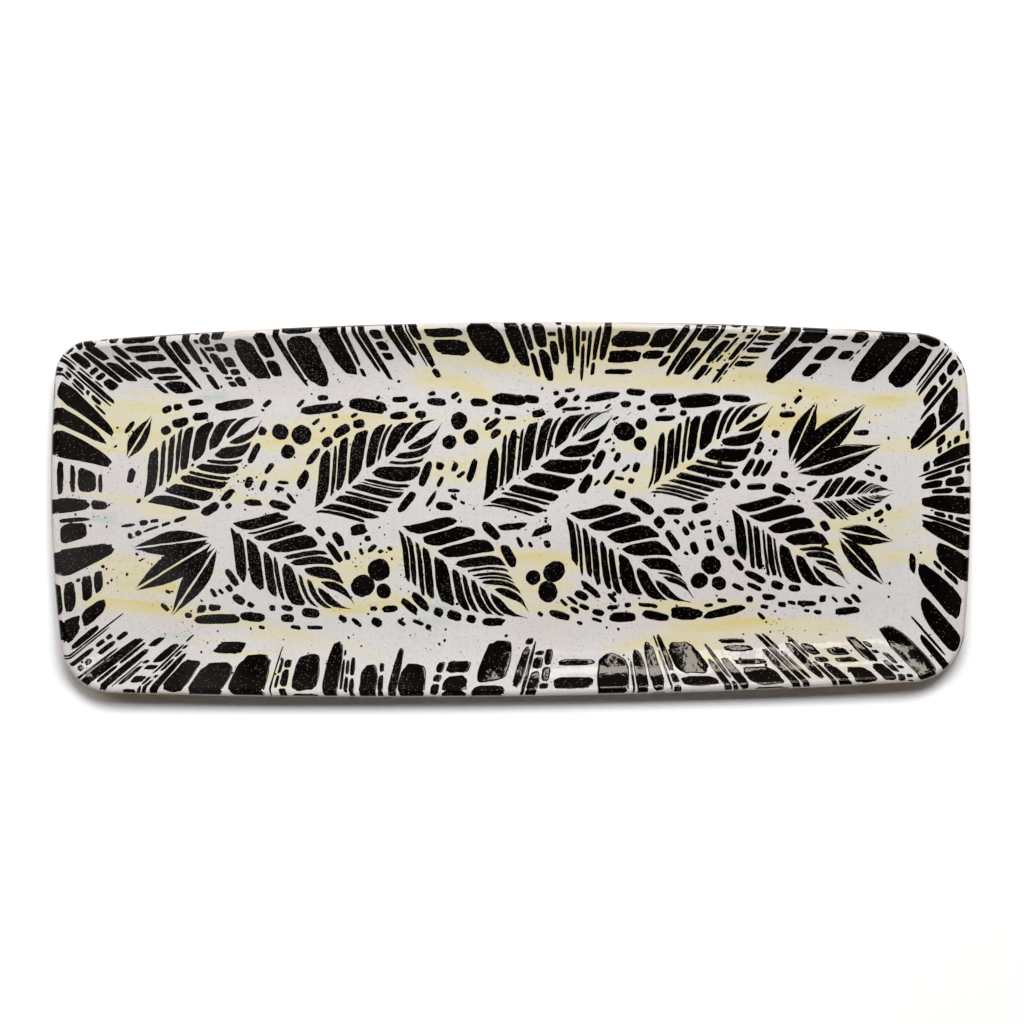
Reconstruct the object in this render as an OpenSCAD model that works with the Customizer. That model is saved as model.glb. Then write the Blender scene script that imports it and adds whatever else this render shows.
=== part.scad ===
// Long rectangular serving platter, hand formed in clay: a dished slab with bowed
// sides and soft corners, standing on four luted foot strips, with a white glaze on
// the face, a glaze band over the back of the lip, and raised black leaf brushwork.
// Millimetres. +X is the long way, +Y the back edge, +Z up, origin under the centre.

/* [Outline] */
// Length over the rim
platter_l = 600; // [480:5:720]
// Width over the rim
platter_w = 245; // [215:5:300]
// How far the back side bulges past its ends
back_bow = 12; // [4:0.5:18]
// How far the front side bulges past its ends
front_bow = 7.5; // [4:0.5:18]
// How far the left end bulges past its corners
left_bow = 8.5; // [3:0.5:14]
// How far the right end bulges past its corners
right_bow = 7; // [3:0.5:14]
// Radius of the back left corner at the rim
back_left_r = 24; // [18:1:60]
// Radius of the back right corner at the rim
back_right_r = 36; // [18:1:60]
// Radius of the front left corner at the rim
front_left_r = 34; // [18:1:60]
// Radius of the front right corner at the rim
front_right_r = 36; // [18:1:60]

/* [Section] */
// Width of the dished wall, seen from above
wall_run = 42; // [24:1:46]
// Height of the dished wall above the floor
wall_rise = 13; // [8:0.5:20]
// Corner radius of the flat floor, where the wall begins
floor_corner_r = 30; // [12:1:40]
// Thickness of the clay floor
floor_t = 7; // [5:0.5:12]
// Thickness of the clay at the lip
lip_t = 5.5; // [3.5:0.5:8]

/* [Glaze] */
// Thickness of the glaze coats
glaze_t = 0.6; // [0.3:0.1:1.2]
// Angle round the lip, from its inner edge, at which the back glaze takes over from the face glaze
face_glaze_angle = 150; // [100:5:170]
// Share of the outer wall that the back glaze covers, down from the lip
back_glaze_reach = 0.45; // [0.2:0.05:0.9]
// Height of the black brushwork above the white glaze
brushwork_t = 0.3; // [0.1:0.1:0.8]

/* [Foot] */
// Height of the foot strips
foot_h = 6; // [4:0.5:10]
// Distance of the end strips in from the ends of the flat floor
foot_end_in = 16; // [4:1:60]
// Distance of the long strips in from the sides of the flat floor
foot_side_in = 6; // [4:1:20]
// Width of each foot strip
strip_w = 11; // [7:0.5:16]
// Rounding of the strips' lower edges
strip_edge_r = 2; // [0.5:0.5:3]
// Rounding of the foot's four outer corners
foot_corner_r = 9; // [3:1:14]

/* [Leaves] */
// Number of side leaves along the stem
leaf_count = 8; // [4:1:10]
// Distance along the stem from one leaf to the next
leaf_step = 55; // [48:1:60]
// Length of the largest leaf
leaf_l = 116; // [90:2:140]
// Greatest width of the largest leaf
leaf_w = 56; // [36:2:64]
// Angle between a side leaf and the length of the platter
leaf_angle = 35; // [30:1:60]
// Size of the leaves towards the ends of the stem, as a share of the largest
end_leaf_share = 0.88; // [0.6:0.02:1]
// Size of the leaf at the tip of the stem, as a share of the largest
tip_leaf_share = 0.52; // [0.4:0.02:0.8]
// Angle between the tip leaf and the length of the platter
tip_leaf_angle = 6; // [-20:1:20]
// Cells between the veins on each half of a leaf
leaf_cells = 6; // [4:1:8]
// White gap left along the midrib and between cells
vein_gap = 2.2; // [1.2:0.2:4]
// Sideways swing of the stem
stem_swing = 6; // [0:1:16]
// Distance of the middle of the stem to the right of the platter's middle
stem_shift = -29; // [-40:1:20]

/* [Hidden] */

clay_colour = [0.70, 0.50, 0.40];
glaze_colour = [0.82, 0.80, 0.78];
black_colour = [0.05, 0.045, 0.04];

// Segments of each side, end and corner of a ring, and of the wall's and lip's arcs
side_steps = 14;
end_steps = 8;
corner_steps = 8;
wall_steps = 8;
under_steps = 5;
face_lip_steps = 6;
back_lip_steps = 2;
round_steps = 48;
// How far a trimming block stands past what it trims
trim_spare = 1;

// The wall is an arc that leaves the floor level: its angle and radius follow from run and rise
wall_angle = 2 * atan(wall_rise / wall_run);
wall_r = wall_run / sin(wall_angle);
// Inset, from the outermost rim, of the lip's inner edge and of the floor's edge
lip_run = lip_t / 2 * (1 + sin(wall_angle)) + glaze_t;
floor_inset = lip_run + wall_run;
// Heights
floor_z = foot_h + floor_t;
face_z = floor_z + glaze_t;
// Angle up the wall at which the back glaze ends
glaze_end_angle = wall_angle * (1 - back_glaze_reach);

// Radius of an arc that bulges by bow over the given half chord
function bow_radius(half_chord, bow) = (half_chord * half_chord + bow * bow) / (2 * bow);

half_l = platter_l / 2;
half_w = platter_w / 2;
right_r = bow_radius(half_w, right_bow);
back_r = bow_radius(half_l, back_bow);
left_r = bow_radius(half_w, left_bow);
front_r = bow_radius(half_l, front_bow);

// Sides in turn, anticlockwise from the right end: arc centre, radius and steps
side_centres = [
    [half_l - right_r, 0], [0, half_w - back_r], [left_r - half_l, 0], [0, front_r - half_w]
];
side_radii = [right_r, back_r, left_r, front_r];
steps_of_side = [end_steps, side_steps, end_steps, side_steps];
// Corner number i joins side i to the next side
rim_corner_radii = [back_right_r, back_left_r, front_left_r, front_right_r];
corner_ways = [[1, 1], [-1, 1], [-1, -1], [1, -1]];

// Radius of corner i at an inset from the rim: parallel over the lip, then easing to the floor's
function corner_radius(i, inset) =
    let (lip_corner = rim_corner_radii[i] - lip_run)
    let (share = min(1, max(0, (inset - lip_run) / wall_run)))
    inset < lip_run ? rim_corner_radii[i] - inset : lip_corner + share * (floor_corner_r - lip_corner);

// Crossing of two circles that lies furthest along a direction
function circles_meet(p, rp, q, rq, way) =
    let (gap = norm(q - p), u = (q - p) / gap)
    let (along = (gap * gap + rp * rp - rq * rq) / (2 * gap))
    let (across = sqrt(rp * rp - along * along))
    let (one = p + along * u + across * [-u.y, u.x])
    let (two = p + along * u - across * [-u.y, u.x])
    one * way > two * way ? one : two;

function corner_centre(i, inset) =
    let (j = (i + 1) % 4, r = corner_radius(i, inset))
    circles_meet(
        side_centres[i], side_radii[i] - inset - r,
        side_centres[j], side_radii[j] - inset - r,
        corner_ways[i]
    );

function bearing(from, to) = atan2(to.y - from.y, to.x - from.x);

// Points of an arc from one bearing anticlockwise to another, without its last point
function arc_points(centre, r, start, end, steps) =
    let (turn = (end - start + 720) % 360)
    [for (k = [0 : steps - 1]) centre + r * [cos(start + turn * k / steps), sin(start + turn * k / steps)]];

// Closed outline of the platter at an inset from its rim
function outline(inset) =
    let (corners = [for (i = [0 : 3]) corner_centre(i, inset)])
    [for (i = [0 : 3])
        let (before = corners[(i + 3) % 4], here = corners[i])
        let (start = bearing(side_centres[i], before), end = bearing(side_centres[i], here))
        let (next = bearing(side_centres[(i + 1) % 4], here))
        each concat(
            arc_points(side_centres[i], side_radii[i] - inset, start, end, steps_of_side[i]),
            arc_points(here, corner_radius(i, inset), end, next, corner_steps)
        )
    ];

// Point of the section, as [inset, height]: angle up the wall, distance below the clay's face
function wall_point(angle, depth) = [
    floor_inset - (wall_r + depth) * sin(angle),
    floor_z + wall_r - (wall_r + depth) * cos(angle)
];
// Clay thickness at an angle up the wall
function clay_t(angle) = floor_t + (lip_t - floor_t) * angle / wall_angle;

// Point round the lip, turned from its inner edge over the crest
lip_centre = wall_point(wall_angle, lip_t / 2);
function lip_point(turn, r) = lip_centre + r * [sin(wall_angle - turn), cos(wall_angle - turn)];

// Evenly spaced values, and a list turned end for end
function spaced(from, to, steps) = [for (k = [0 : steps]) from + (to - from) * k / steps];
function turned(list) = [for (k = [len(list) - 1 : -1 : 0]) list[k]];

// Stretches of the section, each coated by so much glaze: the inner wall, the lip to the end of the
// face glaze, the rest of the lip, the glazed part of the outer wall, and its bare part
function inner_wall(coat) = [for (a = spaced(0, wall_angle, wall_steps)) wall_point(a, -coat)];
function face_lip(coat) =
    [for (t = spaced(0, face_glaze_angle, face_lip_steps)) lip_point(t, lip_t / 2 + coat)];
function back_lip(coat) =
    [for (t = spaced(face_glaze_angle, 180, back_lip_steps)) lip_point(t, lip_t / 2 + coat)];
function outer_wall(coat) =
    [for (a = spaced(wall_angle, glaze_end_angle, under_steps)) wall_point(a, clay_t(a) + coat)];
function bare_wall() = [for (a = spaced(glaze_end_angle, 0, under_steps)) wall_point(a, clay_t(a))];
// Stretches joined in order, where each starts on the last point of the one before
function joined(stretches) =
    [for (s = stretches) for (k = [0 : len(s) - 1]) if (k > 0 || s == stretches[0]) s[k]];

// Solid made by carrying a section round the outline. A capped section starts and ends on the floor.
// Squares are split the same way whether the section climbs or falls, so that coats lie on the clay.
module swept(section, capped) {
    rings = [for (p = section) [for (q = outline(p.x)) [q.x, q.y, p.y]]];
    around = len(rings[0]);
    last = len(rings) - 1;
    bands = [for (j = [0 : capped ? last - 1 : last]) for (i = [0 : around - 1])
        let (next_ring = (j + 1) % (last + 1), next_point = (i + 1) % around)
        let (a = j * around + i, b = j * around + next_point)
        let (c = next_ring * around + next_point, d = next_ring * around + i)
        let (climbs = section[next_ring].y > section[j].y)
        each climbs ? [[a, b, c], [a, c, d]] : [[a, b, d], [b, c, d]]];
    caps = capped ? [
        [for (i = [around - 1 : -1 : 0]) i],
        [for (i = [0 : around - 1]) last * around + i]
    ] : [];
    polyhedron(points = [for (ring = rings) each ring], faces = concat(bands, caps), convexity = 6);
}

// Dished slab of fired clay: floor, wall and rounded lip
module clay_body() {
    color(clay_colour)
        swept(joined([inner_wall(0), face_lip(0), back_lip(0), outer_wall(0), bare_wall()]), true);
}

// White coat over the floor, the wall and the crest of the lip
module face_glaze() {
    coat = joined([inner_wall(glaze_t), face_lip(glaze_t)]);
    clay = joined([inner_wall(0), face_lip(0)]);
    color(glaze_colour) swept(concat(coat, turned(clay)), true);
}

// Band of glaze that runs from the lip down the outside of the wall
module back_glaze() {
    coat = joined([back_lip(glaze_t), outer_wall(glaze_t)]);
    clay = joined([back_lip(0), outer_wall(0)]);
    color(glaze_colour) swept(concat(coat, turned(clay)), false);
}

// Section of a foot strip, flat on top where it is luted to the floor
module strip_section() {
    side = strip_w / 2 - strip_edge_r;
    translate([-strip_w / 2, strip_edge_r]) square([strip_w, foot_h - strip_edge_r]);
    translate([-side, 0]) square([2 * side, foot_h]);
    for (way = [-1, 1]) translate([way * side, strip_edge_r]) circle(strip_edge_r, $fn = round_steps);
}

// Foot over its strips, inside the flat floor
foot_l = 2 * (half_l - floor_inset - max(left_bow, right_bow) - foot_end_in);
foot_w = 2 * (half_w - floor_inset - max(back_bow, front_bow) - foot_side_in);

// Upright block that trims the long strips to length and rounds their outer corners. It stands past
// the strips at the sides, top and bottom.
module strip_trim() {
    long = foot_l / 2 - foot_corner_r;
    wide = foot_w / 2 + trim_spare - foot_corner_r;
    translate([0, 0, -trim_spare]) linear_extrude(foot_h + 2 * trim_spare) {
        square([foot_l, 2 * wide], center = true);
        square([2 * long, 2 * (wide + foot_corner_r)], center = true);
        for (x = [-long, long], y = [-wide, wide]) translate([x, y]) circle(foot_corner_r, $fn = round_steps);
    }
}

// Long strip at the front or back
module long_strip(way) {
    color(clay_colour) intersection() {
        translate([-foot_l / 2 - trim_spare, way * (foot_w - strip_w) / 2, 0])
            rotate([90, 0, 90]) linear_extrude(foot_l + 2 * trim_spare) strip_section();
        strip_trim();
    }
}

// End strip, butted between the long strips
module end_strip(way) {
    inside = foot_w - 2 * strip_w;
    color(clay_colour) translate([way * (foot_l - strip_w) / 2, inside / 2, 0])
        rotate([90, 0, 0]) linear_extrude(inside) strip_section();
}

module foot_strip_front() { long_strip(-1); }
module foot_strip_back() { long_strip(1); }
module foot_strip_left() { end_strip(-1); }
module foot_strip_right() { end_strip(1); }

// Sideways place of the stem, one wave over the length of the leafy stretch
stem_l = leaf_step * leaf_count;
function stem_y(x) = stem_swing * sin(360 * x / stem_l);
// Half width of the largest leaf at a share of its length, widest before the middle, with a blunt tip
leaf_tip = 0.97;
function leaf_half(share) = leaf_w / 2 * sin(180 * pow(min(leaf_tip, share), 0.8));
// Forward lean of the side veins, and the stretch of midrib that carries cells, as shares of the length
vein_lean = 0.2;
first_vein = 0.06;
last_vein = 0.82;
cell_points = 16;
// Squareness of a cell's outline: 1 is an ellipse, 0 a rectangle
cell_round = 0.5;

function signed_power(v, e) = sign(v) * pow(abs(v), e);

// Outline of one cell of a leaf that starts at base and grows along a bearing to a share of the largest
// leaf's size, on one side of its midrib
function leaf_cell(base, growth, size, side, i) =
    let (pitch = (last_vein - first_vein) / leaf_cells)
    [for (k = [0 : cell_points - 1])
        let (turn = 360 * k / cell_points)
        let (across = 0.5 + (0.5 - vein_gap / (2 * pitch * leaf_l)) * signed_power(cos(turn), cell_round))
        let (out = 0.5 + 0.5 * signed_power(sin(turn), cell_round))
        let (share = first_vein + pitch * (i + across) + vein_lean * out)
        let (p = [share * leaf_l, side * (vein_gap / 2 + out * (leaf_half(share) - vein_gap / 2))])
        base + size * [p.x * cos(growth) - p.y * sin(growth), p.x * sin(growth) + p.y * cos(growth)]
    ];

// A cell is drawn where it lies on the flat floor, clear of the wall by the vein gap
floor_outline = outline(floor_inset);
function on_floor(points) =
    let (corners = len(floor_outline))
    min([for (k = [0 : corners - 1])
        let (a = floor_outline[k], edge = floor_outline[(k + 1) % corners] - a)
        for (p = points) cross(edge, p - a) / norm(edge)]) > vein_gap;

// Bearing and size of leaf n: side leaves lie in turn towards the back and the front, and are largest
// half way along the stem. The last leaf is the tip.
function leaf_growth(n) = n == leaf_count ? tip_leaf_angle : n % 2 == 0 ? leaf_angle : -leaf_angle;
function leaf_size(n) =
    n == leaf_count
        ? tip_leaf_share
        : end_leaf_share + (1 - end_leaf_share) * sin(180 * (n + 0.5) / leaf_count);

// Raised leaves along a waving stem
module black_brushwork() {
    color(black_colour) translate([0, 0, face_z]) for (n = [0 : leaf_count]) {
        x = (n - leaf_count / 2) * leaf_step + stem_shift;
        for (side = [-1, 1], i = [0 : leaf_cells - 1]) {
            cell = leaf_cell([x, stem_y(x)], leaf_growth(n), leaf_size(n), side, i);
            if (on_floor(cell)) linear_extrude(brushwork_t) polygon(cell);
        }
    }
}

clay_body();
foot_strip_front();
foot_strip_back();
foot_strip_left();
foot_strip_right();
face_glaze();
back_glaze();
black_brushwork();
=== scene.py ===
# %% [markdown]
# A hand-formed serving platter, dressed for the camera.
# The real thing is a dished slab of red clay on four luted foot strips. Its face is white glaze with pale
# washes, and the decoration is thick black glaze laid on with a brush.
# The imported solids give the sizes. They are loaded first, and every smooth surface is then worked out
# around them with numpy, in metres, in the same frame.

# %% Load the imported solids
import bpy
import numpy as np
from mathutils import Matrix, Vector


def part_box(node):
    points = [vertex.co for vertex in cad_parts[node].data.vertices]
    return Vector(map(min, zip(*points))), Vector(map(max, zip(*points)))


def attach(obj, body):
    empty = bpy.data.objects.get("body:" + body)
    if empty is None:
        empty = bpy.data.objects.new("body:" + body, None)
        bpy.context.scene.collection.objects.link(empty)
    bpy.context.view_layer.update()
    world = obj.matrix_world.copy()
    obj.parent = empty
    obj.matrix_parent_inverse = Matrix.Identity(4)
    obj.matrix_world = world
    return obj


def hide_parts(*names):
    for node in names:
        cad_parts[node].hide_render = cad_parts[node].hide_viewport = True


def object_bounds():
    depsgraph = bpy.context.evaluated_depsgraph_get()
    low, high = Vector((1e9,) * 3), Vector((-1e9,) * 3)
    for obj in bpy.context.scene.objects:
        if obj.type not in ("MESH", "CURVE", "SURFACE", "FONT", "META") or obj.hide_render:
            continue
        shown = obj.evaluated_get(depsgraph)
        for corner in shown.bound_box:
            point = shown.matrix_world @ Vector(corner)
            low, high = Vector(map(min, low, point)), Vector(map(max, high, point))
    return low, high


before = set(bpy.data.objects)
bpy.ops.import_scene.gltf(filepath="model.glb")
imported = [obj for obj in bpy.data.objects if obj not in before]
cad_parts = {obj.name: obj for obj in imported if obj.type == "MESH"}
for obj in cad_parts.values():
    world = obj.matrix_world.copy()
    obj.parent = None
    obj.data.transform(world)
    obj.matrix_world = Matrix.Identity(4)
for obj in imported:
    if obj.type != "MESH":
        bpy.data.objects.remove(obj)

MM = 0.001
cad_low, cad_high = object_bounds()
print("solids:", ", ".join(sorted(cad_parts)))
print("box of the solids, mm:", [round(side / MM, 2) for side in cad_high - cad_low])

# %% [markdown]
# The section of the dish.
# A flat floor runs into a wall that is one arc, and the arc ends in a rounded lip. A point of the section
# is an inset from the outermost rim and a height. Two short functions give every coat: glaze is the same
# arc at a smaller or larger radius, so the layers can never cross.

# %% Measure the section
foot_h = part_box("foot_strip_front")[1].z
floor_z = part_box("face_glaze")[0].z
face_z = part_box("black_brushwork")[0].z
glaze_t = face_z - floor_z
floor_t = floor_z - foot_h
lip_t = 5.5 * MM
wall_run = 42 * MM
wall_rise = 13 * MM
wall_angle = 2 * np.arctan(wall_rise / wall_run)
wall_r = wall_run / np.sin(wall_angle)
lip_run = lip_t / 2 * (1 + np.sin(wall_angle)) + glaze_t
floor_inset = lip_run + wall_run


def wall_point(angle, depth):
    """Inset and height at an angle up the wall's arc, a depth below the clay's face: an arc of radius
    wall_r plus depth about a centre wall_r above the edge of the floor."""
    inset = floor_inset - (wall_r + depth) * np.sin(angle)
    height = floor_z + wall_r - (wall_r + depth) * np.cos(angle)
    return np.stack(np.broadcast_arrays(inset, height), -1)


lip_centre = wall_point(wall_angle, lip_t / 2)


def lip_point(turn, radius):
    """Inset and height round the lip: a circle about the lip's centre, turned from its inner edge."""
    spoke = np.stack([np.sin(wall_angle - turn), np.cos(wall_angle - turn)], -1)
    return lip_centre + radius * spoke


def clay_t(angle):
    """Thickness of the clay, which falls evenly from the floor's to the lip's up the wall."""
    return floor_t + (lip_t - floor_t) * angle / wall_angle


print("wall: arc of", round(wall_r / MM, 1), "mm over", round(np.degrees(wall_angle), 1), "degrees")

# %% [markdown]
# The outline.
# Seen from above, the platter is a rectangle whose four sides bulge a little, with four soft corners that
# differ. A box with a bevel would give straight sides, so each side is an arc of a large circle, and each
# corner is a small arc that touches both neighbours. The same rule at any inset gives a whole ring.

# %% Draw the outline at any inset
half_l = (cad_high.x - cad_low.x) / 2
half_w = (cad_high.y - cad_low.y) / 2
side_ways = np.array([[1, 0], [0, 1], [-1, 0], [0, -1]])
side_bows = np.array([7, 12, 8.5, 7.5]) * MM
rim_corner_radii = np.array([36, 24, 34, 36]) * MM
floor_corner_r = 30 * MM
reach = np.array([half_l, half_w, half_l, half_w])
half_chords = np.roll(reach, 1)
side_radii = (half_chords**2 + side_bows**2) / (2 * side_bows)
side_centres = side_ways * (reach - side_radii)[:, None]
corner_ways = side_ways + np.roll(side_ways, -1, axis=0)
side_steps = [60, 180, 60, 180]
corner_steps = 20
around = sum(side_steps) + 4 * corner_steps


def spokes(angle):
    """Ways of length one at angles from X."""
    return np.stack([np.cos(angle), np.sin(angle)], -1)


def quarter_turn(ways):
    """Ways turned anticlockwise by a right angle."""
    return np.stack([-ways[..., 1], ways[..., 0]], -1)


def corner_radius(i, inset):
    """Radius of corner i: parallel to the rim over the lip, then easing evenly to the floor's radius."""
    at_lip = rim_corner_radii[i] - lip_run
    share = np.clip((inset - lip_run) / wall_run, 0, 1)
    eased = at_lip + share * (floor_corner_r - at_lip)
    return np.where(inset < lip_run, rim_corner_radii[i] - inset, eased)


def corner_centre(i, inset):
    """Centre of corner i, where circles parallel to its two sides, drawn in by its radius, meet."""
    j = (i + 1) % 4
    p, q = side_centres[i], side_centres[j]
    drawn_in = inset + corner_radius(i, inset)
    p_radius, q_radius = side_radii[i] - drawn_in, side_radii[j] - drawn_in
    gap = np.linalg.norm(q - p, axis=-1)
    along_way = (q - p) / gap[..., None]
    across_way = quarter_turn(along_way)
    along = (gap**2 + p_radius**2 - q_radius**2) / (2 * gap)
    across = np.sqrt(np.maximum(p_radius**2 - along**2, 0))
    across = across * np.sign((across_way * corner_ways[i]).sum(-1))
    return p + along[..., None] * along_way + across[..., None] * across_way


def bearing(start, end):
    """Angle of the way from one point to another."""
    way = end - start
    return np.arctan2(way[..., 1], way[..., 0])


def arc(centre, radius, start, end, steps):
    """Points of an arc from one bearing anticlockwise to another, without its last point."""
    turn = (end - start) % (2 * np.pi)
    angle = start[:, None] + turn[:, None] * np.arange(steps) / steps
    return centre[:, None] + radius[:, None, None] * spokes(angle)


def outline(inset):
    """One ring of points for each inset: four side arcs, each followed by its corner arc."""
    inset = np.atleast_1d(np.asarray(inset, float))
    corners = [corner_centre(i, inset) for i in range(4)]
    stretches = []
    for i, here in enumerate(corners):
        start = bearing(side_centres[i], corners[i - 1])
        middle = bearing(side_centres[i], here)
        end = bearing(side_centres[(i + 1) % 4], here)
        side = np.broadcast_to(side_centres[i], here.shape)
        stretches.append(arc(side, side_radii[i] - inset, start, middle, side_steps[i]))
        stretches.append(arc(here, corner_radius(i, inset), middle, end, corner_steps))
    return np.concatenate(stretches, axis=1)


rim = outline(0)[0]
print("rim:", around, "points, size in mm:", [round(side / MM, 1) for side in np.ptp(rim, axis=0)])

# %% [markdown]
# The way back, from a point to its inset.
# Brush marks climb the wall, so each of their points needs the height of the glaze below it. The inset of
# the ring through a point has no short formula, but halving an interval finds it for all points at once.

# %% Find the inset of any point
halvings = 30
lowest_inset = -20 * MM
highest_inset = 0.9 * half_w


def inset_at(points):
    """Inset of the ring through each point: a point lies outside a ring if it is further from the corner's
    centre than its radius, or past a side's arc, and halvings close in on the inset between."""
    right, back = points[..., 0] >= 0, points[..., 1] >= 0
    corner = np.where(right, np.where(back, 0, 3), np.where(back, 1, 2))
    first, second = side_centres[corner], side_centres[(corner + 1) % 4]
    first_r, second_r = side_radii[corner], side_radii[(corner + 1) % 4]
    past_first = np.linalg.norm(points - first, axis=-1) - first_r
    past_second = np.linalg.norm(points - second, axis=-1) - second_r
    low = np.full(corner.shape, lowest_inset)
    high = np.full(corner.shape, highest_inset)
    for _ in range(halvings):
        inset = (low + high) / 2
        radius = corner_radius(corner, inset)
        to_corner = np.linalg.norm(points - corner_centre(corner, inset), axis=-1) - radius
        in_corner = np.minimum(past_first, past_second) + inset + radius > 0
        to_side = np.maximum(past_first, past_second) + inset
        outside = np.where(in_corner, to_corner, to_side) > 0
        high = np.where(outside, inset, high)
        low = np.where(outside, low, inset)
    return (low + high) / 2


test_point = np.array([[0, half_w - 20 * MM]])
print("inset of a point 20 mm in from the back rim, mm:", (inset_at(test_point) / MM).round(3))

# %% [markdown]
# The marks of the hand.
# No hand-pressed dish is true. The rim rises and falls by part of a millimetre, and the fired glaze has a
# soft ripple that bends every reflection. Both are sums of sine waves in a few seeded directions, so the
# clay, the glazes and the brush marks can all ask for the same height.

# %% Make the ripple and the rise of the rim
draw = np.random.default_rng(7)


def wave_set(count, shortest, longest, height):
    """Wave vectors, phases and heights of a few sine waves whose sum strays by about the height given."""
    length = draw.uniform(shortest, longest, count)
    way = draw.uniform(0, 2 * np.pi, count)
    vectors = (2 * np.pi / length)[:, None] * spokes(way)
    return vectors, draw.uniform(0, 2 * np.pi, count), height * np.sqrt(2 / count)


def waves(points, wave):
    """Sum of the waves at each point: height times the sine of its place along each wave."""
    vectors, phases, height = wave
    return height * np.sin(points @ vectors.T + phases).sum(-1)


slow_ripple = wave_set(6, 80 * MM, 160 * MM, 0.09 * MM)
quick_ripple = wave_set(16, 17 * MM, 42 * MM, 0.06 * MM)
rim_rise = wave_set(5, 170 * MM, 420 * MM, 0.2 * MM)
rim_settle = 0.4 * MM
under_swell = wave_set(9, 40 * MM, 120 * MM, 0.12 * MM)
ripple_start = 3 * MM
ripple_full = 12 * MM


def smooth_step(value, start, end):
    """Eases from 0 at start to 1 at end."""
    share = np.clip((value - start) / (end - start), 0, 1)
    return share * share * (3 - 2 * share)


def hand_rise(points, inset):
    """Rise of the whole thickness, from nothing on the floor to its full value at the rim, which has also
    settled a little all round."""
    return (waves(points, rim_rise) - rim_settle) * smooth_step(inset, floor_inset, 0)


def ripple(points, inset):
    """Ripple of the white glaze, which dies out on the lip."""
    both = waves(points, slow_ripple) + waves(points, quick_ripple)
    return both * smooth_step(inset, ripple_start, ripple_full)


crest_r = lip_t / 2 + glaze_t
lip_inner_inset = lip_point(0, crest_r)[0]


def face_height(points, inset):
    """Height of the white glaze: the floor, then the wall's arc, then the arc over the lip, with the
    hand's rise and the ripple added."""
    arc_r = wall_r - glaze_t
    up = np.clip((floor_inset - inset) / arc_r, 0, np.sin(wall_angle))
    on_wall = floor_z + wall_r - arc_r * np.sqrt(1 - up**2)
    off_crest = np.clip((inset - lip_centre[0]) / crest_r, -1, 1)
    on_lip = lip_centre[1] + crest_r * np.sqrt(1 - off_crest**2)
    smooth = np.where(inset < lip_inner_inset, on_lip, on_wall)
    return smooth + hand_rise(points, inset) + ripple(points, inset)


middle_line = np.stack([np.linspace(-0.25, 0.25, 200), np.zeros(200)], -1)
middle_heights = face_height(middle_line, inset_at(middle_line))
print("ripple along the middle, mm:", round(np.ptp(middle_heights) / MM, 2))

# %% [markdown]
# From arrays to meshes.
# A surface here is rows of points, each row closed on itself, with a single point as a pole at either end.
# The faces are then only index sums, so a whole mesh is a few array operations and one foreach_set each.

# %% Build meshes from rows of points
sharp_angle = np.radians(50)


def turns(count):
    """Angles of so many even steps round a circle."""
    return 2 * np.pi * np.arange(count) / count


def row_quads(rows, columns):
    """Squares between each row and the next, with every row closed on itself."""
    start = np.arange(rows - 1)[:, None] * columns
    here = np.arange(columns)
    after = np.roll(here, -1)
    corners = [start + here, start + after, start + columns + after, start + columns + here]
    return np.stack(corners, -1).reshape(-1, 4)


def fans(pole, ring):
    """Triangles from a pole to each neighbouring pair of a ring's points."""
    return np.stack([np.broadcast_to(pole, ring.shape), ring, np.roll(ring, -1, axis=-1)], -1).reshape(-1, 3)


def build_mesh(name, points, quads, triangles):
    """Mesh of the points with its squares first and its triangles after them, shaded smooth."""
    mesh = bpy.data.meshes.new(name)
    corners = np.concatenate([quads.ravel(), triangles.ravel()])
    starts = np.concatenate([4 * np.arange(len(quads)), 4 * len(quads) + 3 * np.arange(len(triangles))])
    mesh.vertices.add(len(points))
    mesh.vertices.foreach_set("co", np.ascontiguousarray(points, np.float32).ravel())
    mesh.loops.add(len(corners))
    mesh.loops.foreach_set("vertex_index", corners.astype(np.int32))
    mesh.polygons.add(len(starts))
    mesh.polygons.foreach_set("loop_start", starts.astype(np.int32))
    mesh.polygons.foreach_set("use_smooth", np.ones(len(starts), bool))
    mesh.update(calc_edges=True)
    return mesh


def add_piece(name, mesh, node=None):
    """Object at the origin that rides on the platter and, if a node is given, hides that imported solid."""
    piece = bpy.data.objects.new(name, mesh)
    bpy.context.scene.collection.objects.link(piece)
    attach(piece, "root")
    if node:
        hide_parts(node)
    print(name + ":", len(mesh.vertices), "points,", len(mesh.polygons), "faces")
    return piece


ring_insets = np.linspace(0, floor_inset, 240)
ring_table = outline(ring_insets)


def on_rings(column, inset):
    """Points at a place round the outline, counted in columns of the ring table, and at an inset, read
    between the four nearest points of that table."""
    ring_place = np.clip(inset / ring_insets[1], 0, len(ring_insets) - 1.001)
    ring = ring_place.astype(int)
    inward = (ring_place - ring)[..., None]
    before = np.floor(column).astype(int)
    onward = (column - before)[..., None]
    outer, inner = (
        ring_table[row, before % around] * (1 - onward) + ring_table[row, (before + 1) % around] * onward
        for row in (ring, ring + 1))
    return outer * (1 - inward) + inner * inward


def swept(section):
    """Rows of points: a section of insets and heights carried round the outline, raised by the hand."""
    section = section if section.ndim == 3 else section[:, None]
    inset = np.broadcast_to(section[..., 0], (len(section), around))
    flat = on_rings(np.arange(around), inset)
    height = section[..., 1] + hand_rise(flat, inset)
    return np.concatenate([flat, height[..., None]], -1)


def floor_rows(shares, height):
    """Rows of points over the flat floor: its outline drawn in to each share of its size."""
    flat = shares[:, None, None] * outline(floor_inset)
    return np.concatenate([flat, np.full(flat.shape[:2] + (1,), height)], -1)


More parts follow.
